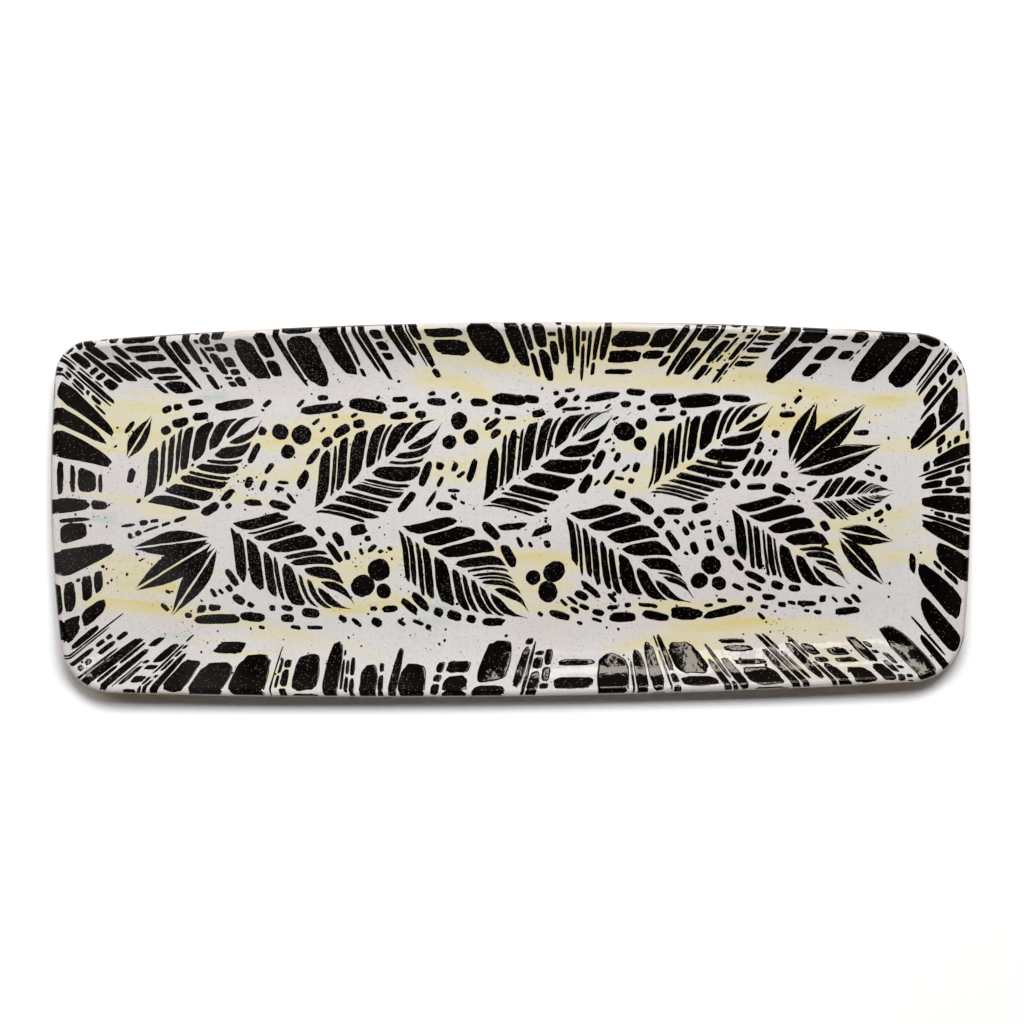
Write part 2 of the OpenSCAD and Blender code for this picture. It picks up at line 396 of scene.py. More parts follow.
def capped_mesh(name, rows):
    """Closed mesh of rows that start near one pole in the middle and end near another."""
    columns = rows.shape[1]
    poles = np.stack([rows[0].mean(0), rows[-1].mean(0)])
    points = np.concatenate([rows.reshape(-1, 3), poles])
    first_ring = np.arange(columns)
    last_ring = first_ring + columns * (len(rows) - 1)
    low_pole = columns * len(rows)
    triangles = np.concatenate([fans(low_pole, first_ring[::-1]), fans(low_pole + 1, last_ring)])
    return build_mesh(name, points, row_quads(len(rows), columns), triangles)


def sharpen(mesh):
    """Marks the sharp edges, so that smooth shading doesn't bleed round them."""
    mesh.set_sharp_from_angle(angle=sharp_angle)


def corner_points(mesh):
    """Number of the point at each face corner of a mesh."""
    points = np.empty(len(mesh.loops), np.int32)
    mesh.loops.foreach_get("vertex_index", points)
    return points


def lay_map(mesh, corner_map):
    """Gives a mesh the map that is painted later: one flat place for each face corner."""
    mesh.uv_layers.new(name="OFBake").data.foreach_set("uv", corner_map.astype(np.float32).ravel())


print("ring table:", ring_table.shape[0], "rings of", around, "points")

# %% [markdown]
# The clay slab.
# The potter rolls a slab, lays it in a former and rounds the lip with a wet sponge. It could be a box with
# a lattice, but the section carried round the outline gives the true thickness everywhere. The underside,
# which nobody smooths, gets a gentle swell.

# %% Press the clay slab
under_shares = np.linspace(0.04, 1, 26)
outer_angles = np.linspace(wall_angle, 0, 22)[1:-1]
lip_turns = np.radians(np.linspace(180, 0, 15))
inner_angles = np.linspace(wall_angle, 0, 13)[1:-1]
clay_section = np.concatenate([
    wall_point(outer_angles, clay_t(outer_angles))[::-1],
    lip_point(lip_turns, lip_t / 2),
    wall_point(inner_angles, 0),
])
clay_rows = np.concatenate([
    floor_rows(under_shares, foot_h),
    swept(clay_section),
    floor_rows(under_shares[::-5], floor_z),
])
swelling = len(under_shares) + len(outer_angles)
under = clay_rows[:swelling]
fade = np.concatenate([np.ones(len(under_shares)), np.linspace(1, 0, len(outer_angles) + 1)[1:]])
under[..., 2] += waves(under[..., :2], under_swell) * fade[:, None]
clay_slab = add_piece("clay_slab", capped_mesh("clay_slab", clay_rows), "clay_body")

# %% [markdown]
# The four foot strips.
# Coils of clay, squared with a paddle, are luted to the underside with slip and trued on a board. A plain
# bar would look machined, so the profile has soft lower edges, spreads a little where the slip was smeared
# along the joint, and wanders slightly along its length. The long strips have rounded outer ends.

# %% Roll and lute the foot strips
strip_corner_r = 9 * MM
strip_sink = 0.35 * MM
strip_spread = 0.16
strip_steps = 90
corner_rows = 9
profile_turn = turns(40)
strip_wander = wave_set(5, 35 * MM, 110 * MM, 0.16 * MM)


def signed_power(value, power):
    """Power of the size of a value, with its sign kept: it squares off a circle when below 1."""
    return np.sign(value) * np.abs(value) ** power


def strip_rows(low, high, corner_r, outer_way):
    """Rows of a squared oval carried along a strip's box: half width times the signed power of the cosine,
    height from the sine, spread near the top, and drawn in on the outer side over the rounded ends."""
    along = 0 if high.x - low.x > high.y - low.y else 1
    start, end = low[along], high[along]
    inner, outer = (low[1 - along], high[1 - along])[:: int(outer_way)]
    ends = corner_r * (1 - np.cos(np.linspace(0, np.pi / 2, corner_rows if corner_r else 1)))
    middle = np.linspace(start + corner_r, end - corner_r, strip_steps)[1:-1]
    place = np.concatenate([start + ends, middle, end - ends[::-1]])
    from_end = np.minimum(place - start, end - place)
    cut = corner_r - np.sqrt(np.maximum(corner_r**2 - np.maximum(corner_r - from_end, 0) ** 2, 0))
    edge = outer - outer_way * cut
    half = np.abs(edge - inner)[:, None] / 2
    height = 0.5 + 0.5 * signed_power(np.sin(profile_turn), 0.45)
    spread = 1 + strip_spread * smooth_step(height, 0.6, 1)
    off = half * signed_power(np.cos(profile_turn), 0.4) * spread
    line = np.stack([place, np.zeros_like(place)], -1)
    wander = waves(line + outer * outer_way, strip_wander)[:, None]
    rows = np.empty((len(place), len(profile_turn), 3))
    rows[..., along] = place[:, None]
    rows[..., 1 - along] = (inner + edge)[:, None] / 2 + off + wander
    rows[..., 2] = height * (high.z + strip_sink)
    return rows if along == 0 else rows[:, ::-1]


strip_kinds = (("front", -1, strip_corner_r), ("back", 1, strip_corner_r), ("left", -1, 0), ("right", 1, 0))
strip_pieces = []
for place, way, corner_r in strip_kinds:
    node = "foot_strip_" + place
    rows = strip_rows(*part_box(node), corner_r, way)
    mesh = capped_mesh("foot_rail_" + place, rows)
    sharpen(mesh)
    strip_pieces.append(add_piece("foot_rail_" + place, mesh, node))

# %% [markdown]
# The white face.
# White glaze is poured over the face and wiped off below the lip. It is a thin closed coat: a rippled top
# and an underside that lies on the clay. A bump map could fake the ripple, but a real one bends the long
# reflection on the wall in the same way from every side and in the exported mesh.

# %% Pour the white face
face_glaze_turn = np.radians(150)
floor_shares = np.linspace(0.02, 1, 48)
wall_angles = np.linspace(0, wall_angle, 24)[1:]
over_lip = np.linspace(0, face_glaze_turn, 18)[1:]
face_section = np.concatenate([wall_point(wall_angles, -glaze_t), lip_point(over_lip, crest_r)])
clay_side = np.concatenate([wall_point(wall_angles, 0), lip_point(over_lip, lip_t / 2)])
face_top = np.concatenate([floor_rows(floor_shares, face_z), swept(face_section)])
face_inset = np.concatenate([np.full(len(floor_shares), floor_inset), face_section[:, 0]])
face_top[..., 2] += ripple(face_top[..., :2], np.broadcast_to(face_inset[:, None], face_top.shape[:2]))
face_under = np.concatenate([swept(clay_side[::-2]), floor_rows(floor_shares[::-6], floor_z)])
face_rows = np.concatenate([face_top, face_under])[::-1]
face_mesh = capped_mesh("white_face", face_rows)
sharpen(face_mesh)
white_face = add_piece("white_face", face_mesh, "face_glaze")

# %% [markdown]
# A flat map for the face.
# The colours of the face are later painted into a picture, so the mesh carries a map named OFBake. Its top
# is laid out as seen from above, with the lip rolled out flat past the rim, and its hidden underside
# goes into a narrow band along one edge, so that no two faces share a place.

# %% Lay out the map of the face
face_map_top = 0.86
lip_roll = np.concatenate([np.zeros(len(wall_angles)), over_lip * crest_r])
rolled_inset = np.where(lip_roll > 0, lip_inner_inset - lip_roll, face_section[:, 0])
flat_rows = np.concatenate([floor_rows(floor_shares, 0)[..., :2], outline(rolled_inset)])
map_half = np.abs(flat_rows).max((0, 1)) * 1.01
top_map = 0.5 + flat_rows / (2 * map_half)
top_map[..., 1] *= face_map_top
band_run = np.linspace(0.01, 0.99, around)
band_drop = np.linspace(0.99, 0.88, len(face_under))[:, None]
band_map = np.stack(np.broadcast_arrays(band_run, band_drop), -1)
row_map = np.concatenate([top_map, band_map])[::-1].reshape(-1, 2)
pole_map = [[0.5, 0.875], [0.5, face_map_top / 2]]
corner_map = np.concatenate([row_map, pole_map])[corner_points(face_mesh)]
seam_start = 4 * around * (len(face_under) - 1)
seam = corner_map[seam_start:seam_start + 4 * around]
seam[:, 1] = np.where(seam[:, 1] > face_map_top, seam[:, 1], 0.995)
seam[:, 0] = np.repeat(band_run, 4)
lay_map(face_mesh, corner_map)
print("map of the face: top up to", face_map_top, "underside above it")

# %% [markdown]
# The washes on the face.
# Pale yellow and a few touches of blue green were swept on with a wide, wet brush. Where each wash lies is
# a listed soft shape, kept as a number at every point of the mesh, and the finish later breaks it up into
# streaks. A third number says how thin the glaze runs where it breaks over the lip: 1 on the lip, and up
# to 2 along its outermost edge, where bare clay shows as a dark line that carries painted shade.

# %% Sweep the washes over the face
yellow_spots = np.array([
    [-252, 60, 0.9], [-212, 14, 0.65], [-236, -50, 0.9], [-122, 44, 1.0], [-150, -90, 0.6], [-92, -44, 1.0],
    [-30, 96, 0.95], [-14, 38, 0.8], [22, -46, 1.0], [92, 30, 0.9], [118, -82, 0.9], [176, 66, 1.0],
    [226, -22, 0.85], [256, 56, 0.75], [212, -94, 0.7], [66, 100, 0.95], [148, 98, 0.9],
]) * [MM, MM, 1]
green_spots = np.array([
    [-268, -8, 0.9], [-186, 80, 0.9], [-58, -72, 0.8], [58, 58, 0.8], [150, -30, 0.9], [248, 84, 0.7],
    [-214, -84, 0.7],
]) * [MM, MM, 1]


def brush_bundle(spots, bristles, length, width):
    """Strokes of a flat brush at each spot: a few side by side, each with its own start, length, lean and
    strength. A row is x, y, half length, half width, lean and strength."""
    count = len(spots) * bristles
    side = np.tile(np.arange(bristles) - (bristles - 1) / 2, len(spots))
    spot = np.repeat(spots, bristles, axis=0)
    lean = np.repeat(draw.normal(0, 0.12, len(spots)), bristles)
    x = spot[:, 0] + draw.normal(0, 0.35, count) * length
    y = spot[:, 1] + side * 1.5 * width + draw.normal(0, 0.3, count) * width
    half = length * draw.uniform(0.6, 1.2, count)
    strength = spot[:, 2] * draw.uniform(0.6, 1.0, count)
    return np.stack([x, y, half, width * draw.uniform(0.9, 1.4, count), lean, strength], -1)


def washed(points, sweeps):
    """Strength of a wash at each point: for each stroke, an oblong that fades out from its middle line.
    Strokes that cross deepen one another up to full strength."""
    x, y, half, width, lean, strength = sweeps.T
    off_x, off_y = points[:, :1] - x, points[:, 1:] - y
    along = (off_x * np.cos(lean) + off_y * np.sin(lean)) / half
    across = (off_y * np.cos(lean) - off_x * np.sin(lean)) / width
    cover = np.exp(-(along**4) - across**2) * strength
    return 1 - np.prod(1 - 0.75 * cover, axis=1)


yellow_sweeps = brush_bundle(yellow_spots, 5, 46 * MM, 5.5 * MM)
green_sweeps = brush_bundle(green_spots, 2, 17 * MM, 5 * MM)


def keep_number(mesh, name, values):
    """Stores one number for each point of a mesh, under a name that a finish can read."""
    mesh.attributes.new(name, "FLOAT", "POINT").data.foreach_set("value", values.astype(np.float32))


face_points = np.empty(3 * len(face_mesh.vertices), np.float32)
face_mesh.vertices.foreach_get("co", face_points)
face_flat = face_points.reshape(-1, 3)[:, :2].astype(float)
edge_rows = smooth_step(over_lip, np.radians(66), np.radians(92))
edge_rows = edge_rows * smooth_step(over_lip, np.radians(148), np.radians(132))
edge_rows = np.concatenate([np.zeros(len(face_inset) - len(over_lip)), edge_rows])
thin_rows = np.concatenate([smooth_step(face_inset, 5 * MM, 1 * MM) + edge_rows, np.zeros(len(face_under))])
keep_number(face_mesh, "yellow_wash", washed(face_flat, yellow_sweeps))
keep_number(face_mesh, "green_wash", washed(face_flat, green_sweeps))
keep_number(face_mesh, "thin_glaze", np.append(np.repeat(thin_rows[::-1], around), [0, 0]))
print("washes:", len(yellow_sweeps), "yellow,", len(green_sweeps), "blue green")

# %% [markdown]
# The band behind the lip.
# The same glaze laps over the back of the lip and runs down the outer wall, where it stops in an uneven
# line with a thick bead. The coat is again the wall's own arc at a larger radius. Here its end is a wave
# round the platter, and its thickness swells just before the end and then closes on the clay.

# %% Lap the glaze over the back of the lip
band_reach = 0.45
band_wander = wave_set(9, 28 * MM, 150 * MM, 1.0)
band_end = wall_angle * (1 - band_reach * (1 + 0.16 * waves(rim, band_wander)))
behind_lip = np.linspace(face_glaze_turn, np.pi, 5)[:-1]
band_shares = 1 - (1 - np.linspace(0, 1, 26)) ** 1.5
bead = 1 + 0.7 * np.exp(-(((band_shares - 0.94) / 0.05) ** 2))
closing = np.sqrt(1 - smooth_step(band_shares, 0.95, 1) * 0.98)
coat = (glaze_t * bead * closing)[:, None]
band_angles = wall_angle + (band_end - wall_angle) * band_shares[:, None]
outer_coat = wall_point(band_angles, clay_t(band_angles) + coat)
outer_clay = wall_point(band_angles, clay_t(band_angles))


def round_rows(section):
    """A section that is the same all round, repeated for every place on the outline."""
    return np.broadcast_to(section[:, None], (len(section), around, 2))


band_section = np.concatenate([
    round_rows(lip_point(behind_lip, crest_r)), outer_coat,
    outer_clay[::-2], round_rows(lip_point(behind_lip[::-1], lip_t / 2)),
])
band_points = swept(band_section)
band_count = len(band_points)
closed_rows = np.concatenate([band_points, band_points[:1]])
band_quads = row_quads(len(closed_rows), around) % (band_count * around)
no_triangles = np.empty((0, 3), int)
band_mesh = build_mesh("back_band", band_points.reshape(-1, 3), band_quads[:, ::-1], no_triangles)
sharpen(band_mesh)
back_band = add_piece("back_band", band_mesh, "back_glaze")

# %% [markdown]
# How a brush mark becomes a pat of glaze.
# The black glaze is thick, so each mark stands a little proud and catches the light along its edge. A flat
# texture would lose that. Each mark is an outline that can be drawn in towards its middle by any share, and
# a pat is a few such rings, each laid on the rippled face and lifted by its own height. The lowest ring is
# sunk into the white glaze, so no gap shows, and the coat thins where it breaks over the lip. One array
# operation makes all the marks of a kind.

# %% Lay brush marks on the face
mark_sink = 0.25 * MM
mark_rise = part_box("black_brushwork")[1].z - face_z
lip_thinning = 0.5
thin_start = 9 * MM
thin_full = 3 * MM
stroke_stray = 0.08 * MM
map_size = 2.02 * np.array([half_l, half_w])
black_pieces = []


def pat_rings(sunk, risen):
    """Rings of a pat, as rows of a share and a height: sunk shares lie below the face, and the others stand
    above it by a part of the full rise."""
    low = [[share, -mark_sink] for share in sunk]
    return np.array(low + [[share, part * mark_rise] for share, part in risen])


bold_rings = pat_rings([0.5, 1.0], [(0.955, 0.6), (0.88, 1), (0.5, 0.97)])
lip_rings = pat_rings([0.5, 1.0], [
    (0.965, 0.5), (0.925, 0.85), (0.87, 1), (0.8, 1), (0.71, 1), (0.62, 1), (0.52, 1),
    (0.4, 0.97), (0.27, 0.97), (0.13, 0.97),
])
fine_rings = pat_rings([1.0], [(0.86, 0.45), (0.6, 0.8)])
speck_rings = pat_rings([1.0], [(0.8, 0.4)])


def drawn_in(lines, share):
    """Lines of numbers round each mark, drawn in towards their mean by a share."""
    middle = lines.mean(1, keepdims=True)
    return middle + share * (lines - middle)


def marks_mesh(name, shape, rings):
    """Closed pats: shape gives every outline drawn in by a share, and each ring of a pat is such an outline,
    laid at a height above the face. A pole closes the pat below and another above."""
    edge = shape(1.0)
    x, y = edge[..., 0], edge[..., 1]
    anticlockwise = (x * np.roll(y, -1, 1) - y * np.roll(x, -1, 1)).sum(1) > 0
    drawn = np.stack([shape(share) for share in rings[:, 0]], 1)
    drawn = np.where(anticlockwise[:, None, None, None], drawn, drawn[:, :, ::-1])
    centre = shape(0.0).mean(1)
    count, columns = edge.shape[:2]
    flat = np.concatenate([drawn.reshape(count, -1, 2), centre[:, None], centre[:, None]], 1)
    lift = np.concatenate([np.repeat(rings[:, 1], columns), [rings[0, 1], rings[-1, 1]]])
    inset = inset_at(flat)
    thinned = lift * (1 - lip_thinning * smooth_step(inset, thin_start, thin_full))
    height = face_height(flat, inset) + np.where(lift > 0, thinned, lift)
    points = np.concatenate([flat, height[..., None]], -1)
    first = (np.arange(count) * points.shape[1])[:, None]
    ring = np.arange(columns)
    top_ring = ring + columns * (len(rings) - 1)
    low_pole = first + columns * len(rings)
    quads = (first[..., None] + row_quads(len(rings), columns)).reshape(-1, 4)
    triangles = np.concatenate([fans(low_pole, first + ring[::-1]), fans(low_pole + 1, first + top_ring)])
    points = points.reshape(-1, 3)
    mesh = build_mesh(name, points, quads, triangles)
    lay_map(mesh, 0.5 + points[corner_points(mesh), :2] / map_size)
    return mesh


def add_marks(name, shape, rings, node=None):
    """Piece of black glaze made of pats of one kind."""
    black_pieces.append(add_piece(name, marks_mesh(name, shape, rings), node))


def edge_waves(count, amount, columns):
    """Uneven edge of each mark: a few waves round it, of random height and phase, weaker as they quicken."""
    number = np.arange(2, min(13, columns // 2))
    height = draw.normal(0, amount, (count, len(number))) / number**0.8
    phase = draw.uniform(0, 2 * np.pi, (count, len(number)))
    return (height[..., None] * np.cos(number[:, None] * turns(columns) + phase[..., None])).sum(1)


def ragged(outlines, amount):
    """Outlines whose points have strayed at random, as the edge of dry glaze does."""
    return outlines + draw.normal(0, amount, outlines.shape)


def squared_circle(count, columns, rough, power_x, power_y):
    """Two lines of numbers round each mark, from about -1 to 1: the cosine and the sine of the turn, each to
    a power that squares off the circle, with an uneven edge."""
    turn = turns(columns)
    uneven = 1 + edge_waves(count, rough, columns)
    return signed_power(np.cos(turn), power_x) * uneven, signed_power(np.sin(turn), power_y) * uneven


def between(low, high, line):
    """A line of numbers from -1 to 1, stretched between two limits."""
    return (low + high) / 2 + (high - low) / 2 * line


def strokes(places, ways, lengths, widths, columns, square, rough=0.08):
    """Shape of brush strokes: a squared oval about each place, along its way, with an uneven edge."""
    x_line, y_line = squared_circle(len(places), columns, rough, square, square + 0.1)
    along = (lengths[:, None] / 2 * x_line)[..., None] * ways[:, None]
    across = (widths[:, None] / 2 * y_line)[..., None] * quarter_turn(ways)[:, None]
    outlines = ragged(places[:, None] + along + across, stroke_stray)
    return lambda share: drawn_in(outlines, share)


def unit(vectors):
    """Vectors of length one."""
    return vectors / np.linalg.norm(vectors, axis=-1, keepdims=True)


def turned(ways, angle):
    """Ways turned anticlockwise by an angle."""
    return np.cos(angle)[:, None] * ways + np.sin(angle)[:, None] * quarter_turn(ways)


print("marks stand", round(mark_rise / MM, 2), "mm above the face")

# %% [markdown]
# The leaves.
# A spray of leaves runs the length of the floor. Each half of a leaf is a row of cells, with the veins left
# white between them, and a dry brush leaves fine white lines inside a cell. A cell is a squared circle
# mapped onto the leaf: one direction runs along the midrib, the other out to the leaf's edge.

# %% Place the leaves along the stem
leaf_count = 8
leaf_step = 55 * MM
leaf_l = 116 * MM
leaf_w = 56 * MM
leaf_cells = 6
vein_gap = 1.8 * MM
stem_swing = 6 * MM
stem_shift = -29 * MM
vein_lean = 0.2
first_vein = 0.06
last_vein = 0.82
cell_pitch = (last_vein - first_vein) / leaf_cells


def stem_y(x):
    """Sideways place of the stem: one wave over the length of the leafy stretch."""
    return stem_swing * np.sin(2 * np.pi * x / (leaf_step * leaf_count))


def leaf_half(share):
    """Half width of the largest leaf: half its width times the sine of 180 degrees by the share to the power
    of 0.8."""
    return leaf_w / 2 * np.sin(np.pi * np.clip(share, 0, 0.97) ** 0.8)


leaf = np.arange(leaf_count + 1)
is_tip = leaf == leaf_count
leaf_x = (leaf - leaf_count / 2) * leaf_step + stem_shift
leaf_base = np.stack([leaf_x, stem_y(leaf_x)], -1)
leaf_turn = np.radians(np.where(is_tip, 6, np.where(leaf % 2 == 0, 35, -35)))
leaf_size = np.where(is_tip, 0.52, 0.88 + 0.12 * np.sin(np.pi * (leaf + 0.5) / leaf_count))


def on_platter(flat, n):
    """Points of leaf n, drawn flat along X, turned to its bearing, sized and moved to its base."""
    cos, sin = np.cos(leaf_turn[n]), np.sin(leaf_turn[n])
    x, y = flat[..., 0], flat[..., 1]
    turned = np.stack([x * cos - y * sin, x * sin + y * cos], -1)
    return leaf_base[n] + leaf_size[n][..., None] * turned


print("leaves:", leaf_count, "along the stem and one at its tip")

# %% Brush in the cells of the leaves
hairline = 0.32 * MM
cell_columns = 36


def cell_parts():
    """Rows of leaf, side, cell, and where each part of the cell starts and ends across it and out from the
    midrib. Fine lines split most cells into two or three parts."""
    parts = []
    half_gap = vein_gap / 2 / (cell_pitch * leaf_l)
    half_line = hairline / (cell_pitch * leaf_l)
    for n, side, cell in np.ndindex(leaf_count + 1, 2, leaf_cells):
        cuts = np.sort(draw.uniform(0.28, 0.72, draw.choice([0, 0, 0, 1, 1, 2])))
        edges = np.concatenate([[0], cuts, [1]])
        for start, end in zip(edges[:-1], edges[1:]):
            low = start + (half_gap if start == 0 else half_line)
            high = end - (half_gap if end == 1 else half_line)
            parts.append([n, 2 * side - 1, cell, low, high, draw.uniform(0, 0.04), draw.uniform(0.93, 1.04)])
    parts = np.array(parts)
    return parts[parts[:, 4] - parts[:, 3] > 0.1]


def cell_shape(parts):
    """Shape of the cells: a squared circle stretched between a part's limits, leaned forward along the veins,
    and scaled out to the edge of the leaf."""
    n, side, cell, low, high, near, far = parts.T[..., None]
    x_line, y_line = squared_circle(len(parts), cell_columns, 0.05, 0.55, 0.6)
    across_line, out_line = between(low, high, x_line), between(near, far, y_line)
    stray = draw.normal(0, 0.1 * MM, (*across_line.shape, 2))

    def shape(share):
        across, out = drawn_in(across_line, share), drawn_in(out_line, share)
        along = first_vein + cell_pitch * (cell + across) + vein_lean * out
        half = np.maximum(leaf_half(along) - vein_gap / 2, 0.3 * MM)
        flat = np.stack([along * leaf_l, side * (vein_gap / 2 + out * half)], -1)
        return on_platter(flat, n.astype(int)) + share * stray

    return shape


add_marks("leaf_brushwork", cell_shape(cell_parts()), bold_rings, "black_brushwork")

# %% [markdown]
# Buds and berries.
# Fans of solid bud leaves fill the corners of the floor, and threes of berries sit in the gaps between the
# leaves. A bud is two halves with a hair of white along the midrib, mapped from a squared circle as before.

# %% Fan out the bud leaves
buds = np.array([
    [186, 22, 17, 60, 18], [184, 25, 41, 64, 19], [182, 29, 66, 44, 15],
    [-199, -17, 187, 52, 16], [-198, -20, 211, 60, 19], [-195, -23, 236, 54, 16],
    [214, -16, -12, 38, 13], [215, -21, -47, 44, 14], [-252, 36, 58, 32, 11],
])
bud_gap = 0.8 * MM
bud_columns = 36


def bud_shape():
    """Shape of two halves of each bud: a squared circle stretched along the bud and out to its edge, whose
    half width is that of a sine, with a hair of white left along the midrib."""
    bud = np.repeat(buds, 2, axis=0)
    side = np.tile([-1.0, 1.0], len(buds))[:, None]
    length, width = bud[:, 3:4] * MM, bud[:, 4:5] * MM
    x_line, y_line = squared_circle(len(bud), bud_columns, 0.05, 0.8, 0.6)
    along_line, out_line = np.clip(between(0, 1, x_line), 0, 1), between(0, 1, y_line)
    stray = draw.normal(0, 0.12 * MM, (*along_line.shape, 2))
    way = np.radians(bud[:, 2:3])

    def shape(share):
        along, out = drawn_in(along_line, share), drawn_in(out_line, share)
        half = np.maximum(width / 2 * np.sin(np.pi * np.clip(along, 0, 0.97) ** 0.85) - bud_gap / 2, 0.3 * MM)
        across = side * (bud_gap / 2 + out * half)
        x = bud[:, 0:1] * MM + length * along * np.cos(way) - across * np.sin(way)
        y = bud[:, 1:2] * MM + length * along * np.sin(way) + across * np.cos(way)
        return np.stack([x, y], -1) + share * stray

    return shape


add_marks("bud_leaves", bud_shape(), bold_rings)

# %% Press the berries
sprigs = np.array([
    [-146, 47, 6.2], [-36, 50, 6.4], [80, 49, 5.6], [-92, -47, 6.4], [20, -47, 6.2], [129, -46, 5.8],
]) * MM
berry_turns = np.radians([90, 210, 330])
berry_columns = 44


def berry_shape():
    """Shape of three round marks about the middle of each sprig, at nearly even turns, each uneven."""
    turn = berry_turns + draw.uniform(-1.0, 1.0, (len(sprigs), 1)) + draw.uniform(-0.2, 0.2, (len(sprigs), 3))
    size = sprigs[:, 2:] * draw.uniform(0.7, 1.2, turn.shape)
    ways = spokes(turn)
    places = sprigs[:, None, :2] + 1.3 * sprigs[:, 2:, None] * ways
    length = 2 * size * draw.uniform(0.9, 1.2, turn.shape)
    places, ways = places.reshape(-1, 2), ways.reshape(-1, 2)
    return strokes(places, ways, length.ravel(), 2 * size.ravel(), berry_columns, 0.95, 0.04)


add_marks("berry_sprigs", berry_shape(), bold_rings)

# %% [markdown]
# Stem and echo strokes.
# Lines of short strokes fill the white around the bold shapes, as a potter does with the brush. Each line is
# broken into strokes of uneven length with narrow gaps. A stroke that would touch a leaf, a bud, a berry, the
# wall or another stroke is left out, so what matters most comes first: broad strokes along the edge of the
# floor, then the stem and the lines that echo the edges of the leaves, finer the further out, and last
# single strokes strewn in the gaps that are left.

# %% Choose strokes that keep clear of the rest
stroke_room = 0.5 * MM
stroke_limit = 42 * MM
fill_limit = 43 * MM
bud_shares = np.linspace(0, 1, 9)
bud_ways = spokes(np.radians(buds[:, 2]))
bud_points = buds[:, None, :2] + bud_shares[:, None] * (buds[:, 3:4] * bud_ways)[:, None]
bud_room = buds[:, 4:5] / 2 * np.sin(np.pi * bud_shares**0.85) + 1.2
bud_discs = np.concatenate([bud_points, bud_room[..., None]], -1).reshape(-1, 3) * MM
berry_discs = sprigs * [1, 1, 2.3] + [0, 0, 1.2 * MM]


def near_leaf(points):
    """Distance of each point outside the nearest leaf's edge, measured across that leaf."""
    off = points[..., None, :] - leaf_base
    cos, sin = np.cos(leaf_turn), np.sin(leaf_turn)
    x = (off[..., 0] * cos + off[..., 1] * sin) / leaf_size
    y = (off[..., 1] * cos - off[..., 0] * sin) / leaf_size
    beside = (x > -0.02 * leaf_l) & (x < 1.04 * leaf_l)
    gap = np.where(beside, np.abs(y) - leaf_half(x / leaf_l), 1.0) * leaf_size
    return gap.min(-1)


def broken_line(total, shortest=3.2 * MM, longest=12 * MM):
    """Middles and lengths of strokes that follow one another along a line, with narrow gaps between."""
    count = int(total / shortest)
    lengths = draw.uniform(shortest, longest, count)
    gaps = draw.uniform(0.8, 2.2, count) * MM
    ends = np.cumsum(lengths + gaps)
    fits = ends < total
    return (ends - gaps - lengths / 2)[fits], lengths[fits]


def line_rows(places, ways, lengths, thin, thick):
    """Strokes of a line, one row each: place, way, length and a width between two limits, more often thin
    than thick."""
    widths = thin + (thick - thin) * draw.uniform(0, 1, len(places)) ** 1.3
    return np.concatenate([places, ways, np.stack([lengths, widths], -1)], -1)


def probes(line):
    """Three points of each stroke: its middle and a point near either end."""
    reach = np.array([-0.36, 0, 0.36])
    return line[:, None, :2] + reach[:, None] * (line[:, 4:5] * line[:, 2:4])[:, None]


def off_the_wall(line, limit):
    """Strokes of a line that lie further in than a limit."""
    return line[inset_at(probes(line)).min(1) > limit + line[:, 5] / 2]


def clear_of_marks(line, taken, leaf_room):
    """Strokes of a line that keep clear of the leaves and of the discs that other marks take up."""
    tests, half = probes(line), line[:, 5] / 2
    clear = near_leaf(tests).min(1) > half + leaf_room
    from_discs = np.linalg.norm(tests[:, :, None] - taken[:, :2], axis=-1) - taken[:, 2]
    return line[clear & (from_discs.min((1, 2)) > half)]


def gather_lines(lines, taken, leaf_room):
    """All the clear strokes of several lines, and the discs they take up with those taken before."""
    kept = []
    for line in lines:
        line = clear_of_marks(line, taken, leaf_room)
        room = np.repeat(line[:, 5] / 2 + stroke_room, 3)
        taken = np.concatenate([taken, np.column_stack([probes(line).reshape(-1, 2), room])])
        kept.append(line)
    return np.concatenate(kept), taken


def line_strokes(line, columns=20):
    """Shape of the strokes of a line."""
    return strokes(line[:, :2], line[:, 2:4], line[:, 4], line[:, 5], columns, 0.68, 0.07)


taken_discs = np.concatenate([bud_discs, berry_discs])
print("room kept round buds and berries:", len(taken_discs), "discs")

# %% Break lines round the edge of the floor
edge_reach = 222 * MM
edge_drift = wave_set(6, 60 * MM, 190 * MM, 1.0)
ring_rows = np.array([[49.0, 5.0, 9.0, 10, 30], [57.0, 2.8, 5.2, 4, 14]]) * MM


def ring_line(row):
    """Strokes along a ring, read by their distance along it and thinned out in drifts. A row gives the inset
    of the ring and the limits of the strokes' widths and lengths."""
    inset, thin, thick, shortest, longest = row
    ring = outline(inset)[0]
    closed = np.concatenate([ring, ring[:1]])
    run = np.concatenate([[0], np.cumsum(np.linalg.norm(np.diff(closed, axis=0), axis=-1))])
    middle, lengths = broken_line(run[-1], shortest, longest)
    places, ahead = (
        np.stack([np.interp(at, run, closed[:, axis]) for axis in (0, 1)], -1)
        for at in (middle, middle + MM))
    ways = turned(unit(ahead - places), draw.normal(0, 0.13, len(middle)))
    strayed = places + draw.normal(0, 2.4, places.shape) * MM
    line = off_the_wall(line_rows(strayed, ways, lengths, thin, thick), stroke_limit)
    return line[(waves(line[:, :2], edge_drift) > 0.0) & (np.abs(line[:, 0]) < edge_reach)]


edging, taken = gather_lines([ring_line(row) for row in ring_rows], taken_discs, 0.8 * MM)
add_marks("floor_edge_strokes", line_strokes(edging, 26), bold_rings)

